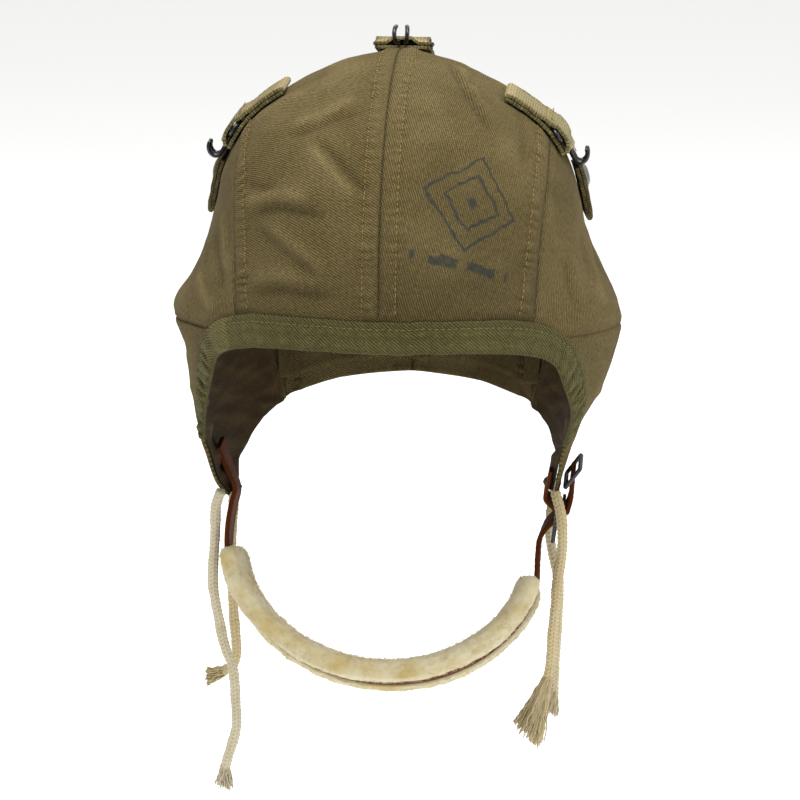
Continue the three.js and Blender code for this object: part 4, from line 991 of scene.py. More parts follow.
def stitchRun(bm, line, facing, settings=stitching, lift=0.12, skip=()):
    # one low-poly stitch after another along a line, each a spindle with its ends in the cloth
    lengths = runLengths(line, 0)
    count = int(lengths[-1] / settings["pitch"])
    run = bmesh.new()
    for k in range(count):
        at = (k + 0.5) * lengths[-1] / count
        if any(a <= at / lengths[-1] <= b for a, b in skip):
            continue
        middle, ahead, behind, up = (readAlong(w, lengths, source) for w, source in (
            (at, line), (at + 0.8, line), (at - 0.8, line), (at, facing)))
        along = Vector(ahead - behind).normalized()
        up = Vector(up).normalized()
        across = up.cross(along).normalized()
        up = along.cross(across)
        turn = Matrix((along, across, up)).transposed().to_4x4()
        size = Matrix.Diagonal((settings["length"] / 2, settings["thick"] / 2, settings["thick"] * 0.42, 1))
        seat = Matrix.Translation(Vector(middle) * mm + up * lift * mm) @ turn @ size @ Matrix.Scale(mm, 4)
        bmesh.ops.create_uvsphere(run, u_segments=6, v_segments=5, radius=1, matrix=seat)
    for face in run.faces:
        face.smooth = True
    joinInto(bm, run)


def finishStitches(bm, name, material=None):
    addPiece(bm, name, [material or threadTan])


def underTabs(points):
    # 1 where a tab lies on the cloth, so that no fold lifts into it
    x, y, z = points[..., 0], points[..., 1], points[..., 2]
    sideTab = smoothStep((16 - np.abs(y)) / 3) * smoothStep((z + 46) / 4) * smoothStep((np.abs(x) - 30) / 5)
    topTab = smoothStep((16 - np.abs(x)) / 3) * smoothStep((y - 22) / 4) * smoothStep((74 - y) / 4) * (z > -50)
    snapTab = smoothStep((13 - np.abs(y - 14)) / 3) * smoothStep((z + 84) / 4) * smoothStep((np.abs(x) - 60) / 5)
    return np.clip(sideTab + topTab + snapTab, 0, 1)


def settle(points, relief):
    covered = underTabs(points)
    ridge = 0.3 * bell(points[..., 1], 3)  # keeps the light out from under the side tabs
    # under a tab the cloth lies low, so the painted crease shade also darkens it a little
    return relief * (1 - covered) + (np.clip(relief * 0.4, -0.3, -0.15) + ridge) * covered


def pressed(relief, share, depth):
    return relief * (1 - share) - depth * share


def soilNear(*distances):
    # soiled close to the seams
    total = 0
    for distance in distances:
        total = total + 0.4 * np.exp(-distance / 1.3) + 0.3 * np.exp(-distance / 9)
    return np.clip(total, 0, 1)


# twill on the bias, brown olive outside and a shade darker inside
def clothPanel(name, kind, node, points, uvs, relief, soilAndShade, ribs, ink=None, outwardFrom=crownMiddle):
    look = {**twillLook, "rib": ribs[0], "cross": ribs[1]}
    material = wovenCloth(f"cotton twill, {name} {kind}", look, ink)
    sheetPiece(points, uvs, {"relief": relief, "soilAndShade": soilAndShade}, f"{kind.replace(' ', '_')}_cloth_{name}",
               [material, innerTwill], [f"{node}_{name}"], outwardFrom, crown["wall"])


centreLine = {}
panelStitches = bmesh.new()


def makeCentrePanel(name, mirror):
    base = centreGrid(mirror)
    normals = gridNormals(base)
    rows = base.shape[0]
    arch = archLines[mirror]
    soft = softRelief(base, 2.0 + mirror)
    midSeam, fromMiddle = seamRelief(base, base[:, 0], stitching["centre"], raised=0.6, pucker=0.62, seed=mirror)
    sideSeam, fromSide = seamRelief(base, arch, stitching["side"], raised=0.7, pucker=0.78, seed=3 + mirror)
    brow, fromBrow = seamRelief(base, base[0], None, pucker=0.35, seed=6, groove=0)
    nape, fromNape = seamRelief(base, base[-1], 9.0, raised=0.5, pucker=0.25, seed=8, groove=0)
    held = smoothStep(np.minimum(fromMiddle, fromSide) / 12)
    relief = soft * (0.25 + 0.75 * held) + foldRelief(base) + midSeam + sideSeam + brow + nape
    tucked = smoothStep((7 - fromBrow) / 4)
    relief = pressed(settle(base, relief), tucked, 0.45)
    points = base + normals * relief[..., None]
    u, v = gridUvs(base, mirror)
    browSoilAndShade = 0.6 if mirror < 0 else 0.95  # dirt and painted shade darken the lower front above the brow, the right panel more
    soilAndShade = np.clip(soilNear(fromMiddle, fromSide) + browSoilAndShade * np.exp(-fromBrow / 38), 0, 1)
    ink = None
    if mirror > 0:
        spot = np.unravel_index(np.argmin(((base - (40, -74, -49)) ** 2).sum(-1)), base.shape[:2])
        ink = {**inkLook, "u": float(u[spot]), "v": float(v[spot])}
    ribs = (-30, 62) if mirror < 0 else (-72, 20)
    clothPanel(name, "centre panel", "crown_panel", points, (u, v), relief, soilAndShade, ribs, ink)
    surface = gridNormals(points)
    for target, distances in ((stitching["centre"], fromMiddle), (stitching["side"], fromSide)):
        line, facing = lineAt(points, surface, distances, target)
        keep = slice(5, rows - 1)
        stitchRun(panelStitches, line[keep], facing[keep])
    hem = int(np.argmin(np.abs(fromNape[-40:, 30] - 9.0)))
    stitchRun(panelStitches, points[rows - 40 + hem], surface[rows - 40 + hem])
    centreLine[name] = base[:, 0]


def makeSidePanel(name, mirror):
    base = sideGrid(mirror)
    normals = gridNormals(base)
    arch = archLines[mirror]
    low = base[-1]
    turns = np.abs(azimuthOf(low))
    seamLine = evenly(low[(turns > seamCorner) & (turns < 133)], 160)
    archSeam, fromArch = seamRelief(base, arch, None, pucker=0.35, seed=12 + mirror, groove=0.9)
    lowSeam, fromLow = seamRelief(base, seamLine, None, pucker=0.2, seed=15 + mirror, groove=0)
    ridge = 0.4 * bell(fromArch - 4.6, 1.1)
    held = smoothStep(np.minimum(fromArch, fromLow) / 10)
    relief = softRelief(base, 9.0 + mirror) * (0.3 + 0.7 * held) + foldRelief(base) + archSeam + lowSeam + ridge
    corner = base[-1][turns <= seamCorner + 0.5]
    fromCorner = nearLine(base, evenly(corner, 30))[0]
    tucked = smoothStep((6 - fromCorner) / 4)
    relief = pressed(settle(base, relief), tucked, 0.45)
    points = base + normals * relief[..., None]
    u = np.radians(azimuthOf(base)) * crown["round"]
    v = np.arctan2(base[..., 2] + 120, np.hypot(base[..., 0], base[..., 1])) * crown["rise"]
    soiled = (fromArch, fromLow) if mirror < 0 else (fromArch,)  # the right seam is hardly soiled
    clothPanel(name, "side panel", "side_panel", points, (u, v), relief, soilNear(*soiled),
               (58 * mirror, -32 * mirror))


flapLook = {"hem": 6.0, "lift": 0.6, "lap": 2.2, "tuck": {-1: 0.8, 1: 0.4}}


def makeEarFlap(name, mirror):
    azimuth, z = flapGrid(mirror, lap=flapLook["lap"])
    base = outerPoint(azimuth, z)
    normals = outerNormal(azimuth, z)
    fromTop = nearLine(base, evenly(base[0], 120))[0]
    seam, fromSeam = seamRelief(base, evenly(base[0], 120) - (0, 0, flapLook["lap"]), None, pucker=0.2,
                                seed=21 + mirror, groove=0)
    # the top edge runs up under the side panel
    tuck = flapLook["tuck"][mirror]
    seam = seam * smoothStep(fromTop / 4) - tuck * (1 - smoothStep((fromTop - flapLook["lap"]) / 1.6))
    rim = np.vstack([base[:, -1], base[-1][::-1]])
    hem, fromRim = seamRelief(base, evenly(rim, 300), flapLook["hem"], raised=flapLook["lift"], pucker=0.28,
                              seed=25 + mirror, groove=0)
    fromFront = nearLine(base, evenly(base[:, 0], 120))[0]
    held = smoothStep(np.minimum(np.minimum(fromSeam, fromRim), fromFront) / 9)
    relief = softRelief(base, 9.0 + mirror) * (0.3 + 0.7 * held) + foldRelief(base) + seam + hem
    tucked = smoothStep((4.5 - fromFront) / 3.5) * smoothStep((z + 190) / 8)
    relief = pressed(relief, tucked, 0.35)
    # and so does the back edge
    fromBack = nearLine(base, evenly(base[:, -1], 120))[0]
    under = 1 - smoothStep((fromBack - flapLook["lap"]) / 1.6)
    relief = pressed(relief, under, 0.9)
    points = base + normals * relief[..., None]
    u, v = gridUvs(base, mirror)
    soiled = (fromSeam, fromRim) if mirror < 0 else (fromRim,)
    clothPanel(name, "ear flap", "ear_flap", points, (u, -v), relief, soilNear(*soiled),
               (60 * mirror, -30 * mirror), outwardFrom=flapMiddle)
    surface = gridNormals(points, flapMiddle)
    inner = np.argmin(np.abs(runLengths(base[::-1], 0)[:, 40] - flapLook["hem"]))
    low = base.shape[0] - 1 - inner
    side = base.shape[1] - 1 - int(np.argmin(np.abs(runLengths(base[:, ::-1], 1)[50] - flapLook["hem"]
                                                     - flapLook["lap"])))
    stitchRun(panelStitches, points[low, 3:side + 1], surface[low, 3:side + 1])
    stitchRun(panelStitches, points[:low + 1, side], surface[:low + 1, side])


# thin plain cotton, brown, gathered by the seam above so that it stands off the flap in puckers
liningLook = {"colour": "#4e3d22", "dark": "#342816", "light": "#695432", "faded": "#59472a", "soilAndShade": "#2a2011",
              "pitch": 0.8, "pick": 0.8, "pickShare": 0.5, "patch": 0.5, "rubbed": 0.5, "bump": 0.6,
              "roughness": 0.95, "sheen": 0.08, "rib": 0, "cross": 90, "wall": 0.5}


def makeEarLining(name, mirror, material):
    azimuth, z = flapGrid(mirror, inset=1.5, columns=70, rows=90)
    surface = outerPoint(azimuth, z)
    normals = outerNormal(azimuth, z)
    along = runLengths(surface, 0)
    fromFront = runLengths(surface, 1)
    gather = np.sin(math.tau * along / 15 + noiseAt(surface, 30, 41) * 4)
    fine = noiseAt(surface * (1, 0.5, 2), 7, 44)
    loose = bell(fromFront - 11, 9) * smoothStep(along / 18) * smoothStep(fromFront / 7)
    sewn = np.exp(-fromFront / 3)  # held close to the flap at its front edge
    inward = 2.6 - 0.7 * sewn + loose * (2.9 + 1.3 * gather) + (0.45 * fine + 0.2 * gather) * (1 - 0.8 * sewn)
    points = surface - normals * inward[..., None]
    # the relief follows the gathers, so their hollows get painted shade
    layers = {"relief": gather * 0.6 + fine * 0.5, "soilAndShade": 0.6 * np.exp(-fromFront / 10)}
    lining = sheetPiece(points, gridUvs(surface), layers, f"ear_lining_cloth_{name}", [material],
                        [f"ear_lining_{name}"], flapMiddle, liningLook["wall"])


# narrow twill tape sewn over the seams on the inside, its depth counted from the cloth's face
seamTape = {"width": 10, "depth": 1.62, "wall": 0.45, "soilAndShade": 0.3}


def makeSeamTape(name, line, material):
    azimuth = azimuthOf(line)
    normals = outerNormal(azimuth, line[:, 2])
    normals = np.where(line[:, 2:] > 1.0, (0, 0, 1.0), normals)
    side = np.cross(normals, headings(line))
    across = np.linspace(-seamTape["width"] / 2, seamTape["width"] / 2, 11)
    sag = seamTape["depth"] + across ** 2 / 170 + 0.12 * np.sin(across * 2)
    points = line[:, None] + side[:, None] * across[None, :, None] - normals[:, None] * sag[None, :, None]
    layers = {"relief": np.zeros(points.shape[:2]), "soilAndShade": np.full(points.shape[:2], seamTape["soilAndShade"])}
    sheetPiece(points, stripUvs(across, runLengths(line, 0)), layers, f"inner_seam_tape_{name}", [material],
               [], crownMiddle, seamTape["wall"])


brownLining = wovenCloth("plain cotton lining, brown", liningLook)
for sideName, mirror in mirrors.items():
    makeCentrePanel(sideName, mirror)
    makeSidePanel(sideName, mirror)
    makeEarFlap(sideName, mirror)
    makeEarLining(sideName, mirror, brownLining)
    makeSeamTape(f"side_{sideName}", evenly(archLines[mirror], 200)[5:-1], innerTwill)
    azimuth, z = flapGrid(mirror)
    makeSeamTape(f"flap_{sideName}", evenly(outerPoint(azimuth[0], z[0]), 80)[:-3] + (0, 0, 0.2), innerTwill)
makeSeamTape("middle", evenly(centreLine["left"] * (0, 1, 1), 260)[4:-4], innerTwill)
finishStitches(panelStitches, "panel_topstitching")
print("cloth panels, flaps and linings made")

# face binding: cotton twill tape folded over the edge and stitched down near its upper edge
# a finer, greener twill than the panels', with its own rib
tapeLook = {"colour": "#5f5a33", "dark": "#37341b", "light": "#716b3f", "faded": "#625d36", "soilAndShade": "#332f18",
            "pitch": 1.15, "pick": 0.9, "pickShare": 0.35, "patch": 0.4, "rubbed": 0.5, "bump": 1.0,
            "roughness": 0.9, "sheen": 0.05, "rib": 40, "cross": -50}
# across the folded tape: share of its width up from the fold, height off the cloth in mm
tapeProfile = [
    (1.11, 0.10), (1.12, 0.42), (1.07, 0.66), (1.0, 0.74), (0.93, 0.62), (0.86, 0.5), (0.8, 0.62),
    (0.72, 0.82), (0.66, 0.9), (0.62, 0.78), (0.54, 0.62), (0.44, 0.74), (0.32, 0.85), (0.2, 0.88),
    (0.1, 0.72), (0.03, 0.38), (-0.01, -0.1), (-0.02, -0.7), (0.0, -1.3), (0.06, -1.62), (0.16, -1.72),
    (0.4, -1.76), (0.7, -1.76), (0.92, -1.72), (0.95, -1.66), (0.92, -1.58), (0.6, -1.52), (0.3, -1.46),
    (0.16, -1.3), (0.12, -0.7), (0.16, -0.25), (0.3, -0.1), (0.6, -0.1), (0.9, -0.1), (1.04, -0.05)]


def makeBinding():
    turns = np.linspace(-crown["tapeEnd"], crown["tapeEnd"], 1200)
    heights = openingZ(turns)
    length = runLengths(outerPoint(turns, heights), 0)
    count = 430
    turns = np.interp(np.linspace(0, length[-1], count), length, turns)
    signs = np.where(turns < 0, -1, 1)
    heights = openingZ(turns)
    upTurn, upHeight = tapeLine(np.abs(turns))
    run = np.linspace(0, length[-1], count)
    profile = np.array(tapeProfile + tapeProfile[:1])
    rings = np.zeros((count, len(profile), 3))
    relief = np.zeros(rings.shape[:2])
    for i in range(count):
        jitter = wobble(run[i] / 16, 0.3)
        wave = math.sin(run[i] * math.tau / 10.5 + jitter * 8) * (0.5 + 0.7 * jitter)
        edgeSway = wobble(run[i] / 9, 5.0) * 0.03
        bunch = bell(run[i] - 66, 5)
        share = profile[:, 0] + edgeSway * (profile[:, 1] > -1)
        azimuth = abs(turns[i]) + (upTurn[i] - abs(turns[i])) * share
        z = heights[i] + (upHeight[i] - heights[i]) * share
        outer = profile[:, 1] > 0.2
        temple = float(smoothStep((abs(turns[i]) - 44) / 12))
        crumple = (1.9 if turns[i] < 0 else 1.3) * temple * (
            abs(math.sin(run[i] * math.pi / 7.6 + jitter * 7)) - 0.55)
        swell = np.where(outer, (0.12 * wave + 0.35 * temple * wave + crumple)
                         * np.sin(np.clip(profile[:, 0], 0, 1) * math.pi) + bunch * 1.1, 0)
        slant = np.where(outer, (0.08 + 0.3 * temple) * np.sin(run[i] * math.tau / 6.4 + profile[:, 0] * 5), 0)
        lift = profile[:, 1] + swell + slant
        base = outerPoint(azimuth * signs[i], z)
        rings[i] = base + outerNormal(azimuth * signs[i], z) * lift[:, None]
        # colour follows the tape's shape: painted shade in the valleys of the crumples and the dips of the profile,
        # paler where its high folds are rubbed, a little darker on its inner face
        relief[i] = (swell + slant) * 2.2 + np.where(outer, (profile[:, 1] - 0.7) * 2.4, -0.3)
    across = runLengths(rings[count // 2], 0)
    binding = tubePiece(rings, "face_binding_tape", wovenCloth("cotton twill tape, olive", tapeLook),
                        "face_binding", {"relief": relief, "soilAndShade": np.zeros_like(relief)},
                        stripUvs(across, run)[::-1])
    rounding = binding.modifiers.new("rounded folds", "SUBSURF")
    rounding.levels = rounding.render_levels = 1
    stitches = bmesh.new()
    facing = outerNormal(turns, heights)
    sewnRow = 5  # the dip of the profile where the thread lies
    stitchRun(stitches, rings[3:-3, sewnRow], facing[3:-3], {**stitching, "pitch": 2.9, "length": 2.3, "thick": 0.5},
              lift=0.02)
    finishStitches(stitches, "binding_stitching", threadOlive)


makeBinding()
print("binding made")

# lines on the cloth that the tabs follow, read by length along and height off it
def lineReader(points):
    points = np.asarray(points, float)
    lengths = runLengths(points, 0)

    def at(along, height):
        length = min(max(along, 0), lengths[-1])
        i = min(int(np.searchsorted(lengths[1:], length, side="left")), len(points) - 2)
        tangent = unit(points[i + 1] - points[i])
        return points[i] + tangent * (along - lengths[i]) + np.array((-tangent[1], tangent[0])) * height
    return at, lengths


def sideTabLine(mirror, y, topZ, footZ):
    points = []
    for z in np.arange(topZ, footZ - 0.01, -2.0):
        turn = (90 + math.degrees(math.asin(y / float(reachAt(z)[2])))) * mirror
        points.append((abs(float(outerPoint(turn, z)[0])), z))
    return points


def fromMouth(points, mouth):
    at, lengths = lineReader(points[:mouth + 1])
    return lambda along, height: at(lengths[-1] + along, height)


# a tab is one ply folded back over itself: open as a slot for the hook, then sewn down
webbing = {"width": 25, "ply": 1.5, "wall": 1.5, "back": 0.4, "slot": 2.8, "length": 38, "slotLength": 15,
           "rows": 120, "columns": 44}
# half of a hook's wire: along the tab from its mouth, to the side, and height over the slot
hookHalf = [(4.6, 2.5, 6.9), (6.6, 2.8, 6.2), (8.4, 3.0, 4.2), (8.6, 2.9, 1.9), (6.8, 2.5, 0.2), (4.2, 2.0, -0.1),
            (1.0, 1.6, 0), (-2.5, 1.6, 0), (-4.6, 2.4, 0), (-5.4, 5.5, 0), (-5.6, 9.5, 0), (-6.6, 12.4, 0),
            (-8.8, 13.4, 0), (-11.0, 12.4, 0), (-12.0, 9.0, 0)]
# heavy cotton webbing: ribs straight across, pale where the yarn ends are rubbed
webbingLook = {"colour": "#82784e", "dark": "#4a4328", "light": "#a8996c", "faded": "#897f55", "soilAndShade": "#474024",
               "pitch": 1.7, "pick": 1.3, "pickShare": 0.5, "patch": 0.5, "rubbed": 0.75, "bump": 1.0,
               "roughness": 0.92, "sheen": 0.1, "rib": 90, "cross": 0}
# steel wire under glossy black enamel
hookLook = {"colour": "#0d0e11", "rust": "#3a2a20", "gloss": 0.22, "chips": 0.5}
coarseWebbing = wovenCloth("cotton webbing, coarse woven", webbingLook)
hookEnamel = blackEnamel("spring steel wire, black stoved enamel", hookLook)
tabStitches = bmesh.new()


def makeTab(name, at, place):
    ply, lowMid = webbing["ply"], crown["gap"] + webbing["ply"] / 2

    def spread(distance):
        share = float(smoothStep((distance - webbing["slotLength"]) / 5))
        return webbing["slot"] + (webbing["back"] - webbing["slot"]) * share

    length, back = webbing["length"], webbing["back"]
    distances = [0, 4, 8, 12, 15, 17, 19, 21, 26, 31, length - 2]
    line = [at(-d, lowMid) for d in distances]
    line += [at(-length + 0.9, lowMid + 0.3), at(-length + 0.5, lowMid + (ply + back) / 2),
             at(-length + 0.9, lowMid + ply + back - 0.3)]
    line += [at(-d, lowMid + ply + spread(d)) for d in reversed(distances)]
    line = evenly(centripetal(line, 200), webbing["rows"])
    across = np.linspace(-webbing["width"] / 2, webbing["width"] / 2, webbing["columns"])
    run = runLengths(line, 0)
    points = np.zeros((len(line), len(across), 3))
    relief = np.zeros(points.shape[:2])
    seed = sum(ord(letter) for letter in name)
    for r, (spot, way) in enumerate(zip(line, headings(line))):
        fromEnd = run[-1] - run[r]
        upper = float(smoothStep((run[r] - run[-1] / 2) / 3))
        edge = np.exp(-(webbing["width"] / 2 - np.abs(across)) / 1.1)
        knobs = 0.28 * math.sin(run[r] * math.tau / 1.9) * edge
        sway = 0.3 * wobble(run[r] / 7, seed)
        # the plies close on each other at the sides, except where the wire lies between them
        shut = smoothStep((np.abs(across) - 4) / 4) * max(1 - fromEnd / 4.2, 0) * 2.5
        shut = shut + smoothStep((np.abs(across) - 7) / 4) * 1.1 * plateau(fromEnd, 12.5, 2, 18, 3)
        wire = 0.3 * bell(fromEnd - 7.5, 2.2)
        stitched = -0.35 * bell(fromEnd - 16.5, 1.0)
        # the lower ply rises between the wire's two crossings, and again where the slot ends
        inside, beyond = plateau(run[r], 6.8, 1, 9.8, 1), 0.8 * plateau(run[r], 13.3, 0.8, 15.5, 1.5)
        risen = 2.3 * smoothStep((10.2 - np.abs(across)) / 2) * (inside + beyond)
        lift = upper * (wire + stitched - shut) + (1 - upper) * risen + 0.1 * np.sin(across * 2.2 + run[r] * 0.8)
        outward = np.array((-way[1], way[0])) * (1 if upper > 0.5 else -1)
        for c, offset in enumerate(across):
            points[r, c] = place(spot + outward * lift[c], offset + (sway + knobs[c]) * offset / webbing["width"] * 2)
        # colour from relief: paler where worn at the mouth and the fold, darker along the edges, and painted shade
        # between the edge knobs
        worn = 1.5 * bell(fromEnd, 1.6) + 0.9 * bell(run[r] - run[-1] / 2, 3.2)
        relief[r] = 0.75 - edge * 1.5 + knobs * 2 + worn
    tab = sheetPiece(points, stripUvs(across, run), {"relief": relief, "soilAndShade": np.zeros_like(relief)},
                     f"webbing_tab_{name}", [coarseWebbing], [f"hook_tab_{name}"], None,
                     webbing["wall"], 0)
    softEdges(tab, 0.35, 2)

    top = lambda d: lowMid + ply + spread(d) + 0.72
    # two rows of stitches across the tab behind the slot, and one along each side
    rows = [[(-15.8, w) for w in np.linspace(-11, 11, 30)], [(-18.2, w) for w in np.linspace(11, -11, 30)]]
    rows += [[(-w, side) for w in np.linspace(19, 34.5, 24)] for side in (-10.3, 10.3)]
    for row in rows:
        spots = np.array([place(at(d, top(-d)), w) for d, w in row])
        lifted = np.array([place(at(d, top(-d) + 1), w) for d, w in row])
        stitchRun(tabStitches, spots, lifted - spots, {**stitching, "pitch": 2.6, "length": 2.3, "thick": 0.7},
                  lift=0.05)

    wireHeight = crown["gap"] + ply + webbing["slot"] / 2
    half = [[place(at(along, height + wireHeight), lateral * side) for along, lateral, height in hookHalf]
            for side in (-1, 1)]
    wire = evenly(centripetal(half[0] + half[1][::-1], 420), 260)
    tubePiece(tubeRings(wire, 1.03, 14, domed=True), f"bent_wire_hook_{name}", hookEnamel,
              f"wire_hook_{name}")


def makeHookTabs():
    for name, mirror in mirrors.items():
        line = sideTabLine(mirror, 0, -2, -49.5)
        at = fromMouth(line, next(i for i, p in enumerate(line) if p[1] <= -41.5))
        makeTab(name, at, lambda p, lateral, mirror=mirror: np.array((p[0] * mirror, lateral, p[1])))
    line = [(-float(p[1]), float(p[2])) for p in
            (outerPoint(180, crown["top"] - root * root) for root in np.arange(9, 0.99, -0.35))]
    at = fromMouth(line, next(i for i, p in enumerate(line) if p[0] >= -27))
    makeTab("top", at, lambda p, lateral: np.array((lateral, -p[0], p[1])))


makeHookTabs()
print("tabs and hooks made")

# the tab that hangs beside the hook tab; its fold is given by length along and height, in mm
snapStrap = {"width": 18, "ply": 1.4, "wall": 1.55, "y": 16, "topZ": -40, "footZ": -77, "turn": 8.5,
             "radius": 6.2, "height": 2.4,
             "fold": [(3, 1.2), (9, 2.0), (16, 2.4), (24, 2.5), (31, 2.5), (36, 2.4), (38.3, 2.1), (38.9, 1.5),
                      (38.4, 0.9), (36, 0.7), (30, 0.7), (22, 0.6), (14, 0.5)]}
# the same webbing, browner with handling
snapWebbingLook = {**webbingLook, "colour": "#625737", "dark": "#3b341f", "light": "#8a7c54", "faded": "#6a5f3e"}
# pressed brass under dull grey-blue paint, brown at the chips
snapLook = {"colour": "#666a62", "rust": "#7b6c4c", "gloss": 0.34, "chips": 0.8}
# radius and height of the cap's profile, as shares: rolled rim, step, low dome and a flat middle
capProfile = [(0.0, 0.02), (0.9, 0.02), (1.0, 0.1), (1.0, 0.24), (0.93, 0.33), (0.86, 0.3), (0.82, 0.42),
              (0.74, 0.66), (0.58, 0.86), (0.38, 0.97), (0.18, 1.0), (0.0, 1.0)]


def makeSnapTab(name, mirror, paint):
    line = sideTabLine(mirror, snapStrap["y"], snapStrap["topZ"], snapStrap["footZ"] - 6)
    pivot = line[len(line) // 2][0] * mirror
    cloth, _ = lineReader(line)
    mid = crown["gap"] * 1.5 + snapStrap["ply"] / 2
    fold = [cloth(along, mid + lift) for along, lift in snapStrap["fold"]]
    turn = math.radians(snapStrap["turn"] * mirror)

    def place(p, lateral):
        x, y = p[0] * mirror - pivot, lateral
        return np.array((pivot + x * math.cos(turn) - y * math.sin(turn),
                         snapStrap["y"] + x * math.sin(turn) + y * math.cos(turn), p[1]))

    route = evenly(centripetal(fold, 160), 96)
    across = np.linspace(-snapStrap["width"] / 2, snapStrap["width"] / 2, 34)
    run = runLengths(route, 0)
    points = np.zeros((len(route), len(across), 3))
    relief = np.zeros(points.shape[:2])
    for r, (spot, way) in enumerate(zip(route, headings(route))):
        lift = 0.14 * np.sin(across * 2.4 + run[r] * 0.9) + 0.2 * wobble(run[r] / 6, mirror)
        for c, offset in enumerate(across):
            points[r, c] = place(spot + np.array((-way[1], way[0])) * lift[c], offset)
        edge = np.exp(-(snapStrap["width"] / 2 - np.abs(across)) / 0.8)
        # colour from relief: darker along the edges, painted shade in the ripples' hollows, paler at the worn fold
        relief[r] = 0.5 + lift - edge + 1.1 * bell(run[r] - 37, 3)
    tab = sheetPiece(points, stripUvs(across, run), {"relief": relief, "soilAndShade": np.zeros_like(relief)},
                     f"webbing_snap_tab_{name}", [snapWebbing], [f"snap_tab_{name}"], None,
                     snapStrap["wall"], 0)
    softEdges(tab, 0.35, 2)
    for along in (3.4, 7.0):
        ends = [place(cloth(along, mid + 1.7 + (along - 3) * 0.2 + 0.7), w) for w in np.linspace(-7.6, 7.6, 24)]
        stitchRun(tabStitches, np.array(ends), np.broadcast_to((mirror, 0, 0.2), (24, 3)),
                  {**stitching, "pitch": 2.4, "length": 2.1, "thick": 0.65}, lift=0.05)

    seat = unit(fold[3] - fold[2])
    face = np.array((-seat[1], seat[0]))
    centre = (fold[2] + fold[3]) / 2 + face * (snapStrap["ply"] / 2 + crown["gap"] * 0.4)
    axis = Vector((face[0] * mirror * math.cos(turn), face[0] * mirror * math.sin(turn), face[1])).normalized()
    bm = bmesh.new()
    rim = [bm.verts.new((share * snapStrap["radius"] * mm, 0, up * snapStrap["height"] * mm))
           for share, up in capProfile]
    edges = [bm.edges.new(pair) for pair in zip(rim, rim[1:])]
    bmesh.ops.spin(bm, geom=rim + edges, cent=(0, 0, 0), axis=(0, 0, 1), angle=math.tau, steps=48,
                   use_merge=True)
    bmesh.ops.remove_doubles(bm, verts=bm.verts, dist=1e-6)
    for face in bm.faces:
        face.smooth = True
    spot = Vector(place(centre, 0)) * mm
    bmesh.ops.transform(bm, verts=bm.verts, matrix=Matrix.Translation(spot) @ axis.to_track_quat("Z", "Y")
                        .to_matrix().to_4x4())
    addPiece(bm, f"pressed_snap_cap_{name}", [paint], [f"snap_cap_{name}"], closed=True)


snapWebbing = wovenCloth("cotton webbing, soiled", snapWebbingLook)
snapPaint = blackEnamel("pressed brass, grey-blue paint", snapLook)
for sideName, mirror in mirrors.items():
    makeSnapTab(sideName, mirror, snapPaint)
finishStitches(tabStitches, "tab_stitching")
print("snap tabs made")

# points of the strap from inside the left flap round under the chin: x, y, z and its lean in degrees
strapRoute = [
    (-83.4, -11, -184, 2), (-80.2, -11, -194, 8), (-77.4, -11, -201, 14), (-75.8, -11.5, -207, 20),
    (-77.2, -13.5, -214, 25), (-78.6, -17.5, -223.5, 28), (-78.4, -23, -234.5, 28), (-75, -30, -246, 29),
    (-67.5, -38, -257, 30), (-56, -45.5, -267, 32), (-41, -52, -275, 32), (-23, -57, -280.5, 32),
    (-2, -59, -282.5, 32), (19, -57.5, -280.5, 32), (38, -52, -274.5, 32), (53, -45, -265.5, 30),
    (63.5, -37, -254, 30), (67.8, -30, -243, 30), (68.2, -23.5, -233, 26), (69, -18, -225, 16),
    (72.2, -15.8, -218.5, 4), (77, -14.4, -214, 2), (80.9, -13, -211, 0), (82.6, -12.3, -206.6, 0),
    (83.3, -12, -202, 0), (83.4, -12, -198, 0), (83.8, -12, -193, 0), (84.1, -12, -189.4, 0)]
strap = {"width": 17, "thickness": 2.2, "stations": 420, "padStart": 0.215, "padEnd": 0.635, "corner": 0.75,
         "seam": 6.6, "tip": 5.5}
# the strap is red-brown and the chape a little lighter
strapLook = {"dark": "#371809", "light": "#6c3512"}
chapeLook = {"dark": "#3c1b0b", "light": "#733a16"}


def strapStations():
    rows = np.array(strapRoute, float)
    line = centripetal(rows[:, :3], strap["stations"])
    places = np.linspace(0, len(rows) - 1, strap["stations"])
    lean = np.radians(np.interp(places, np.arange(len(rows)), rows[:, 3]))
    tangent = headings(line)
    across = np.stack([np.zeros_like(lean), np.cos(lean), -np.sin(lean)], axis=1)
    across = unit(across - tangent * (across * tangent).sum(1, keepdims=True))
    return line, across, np.cross(tangent, across)


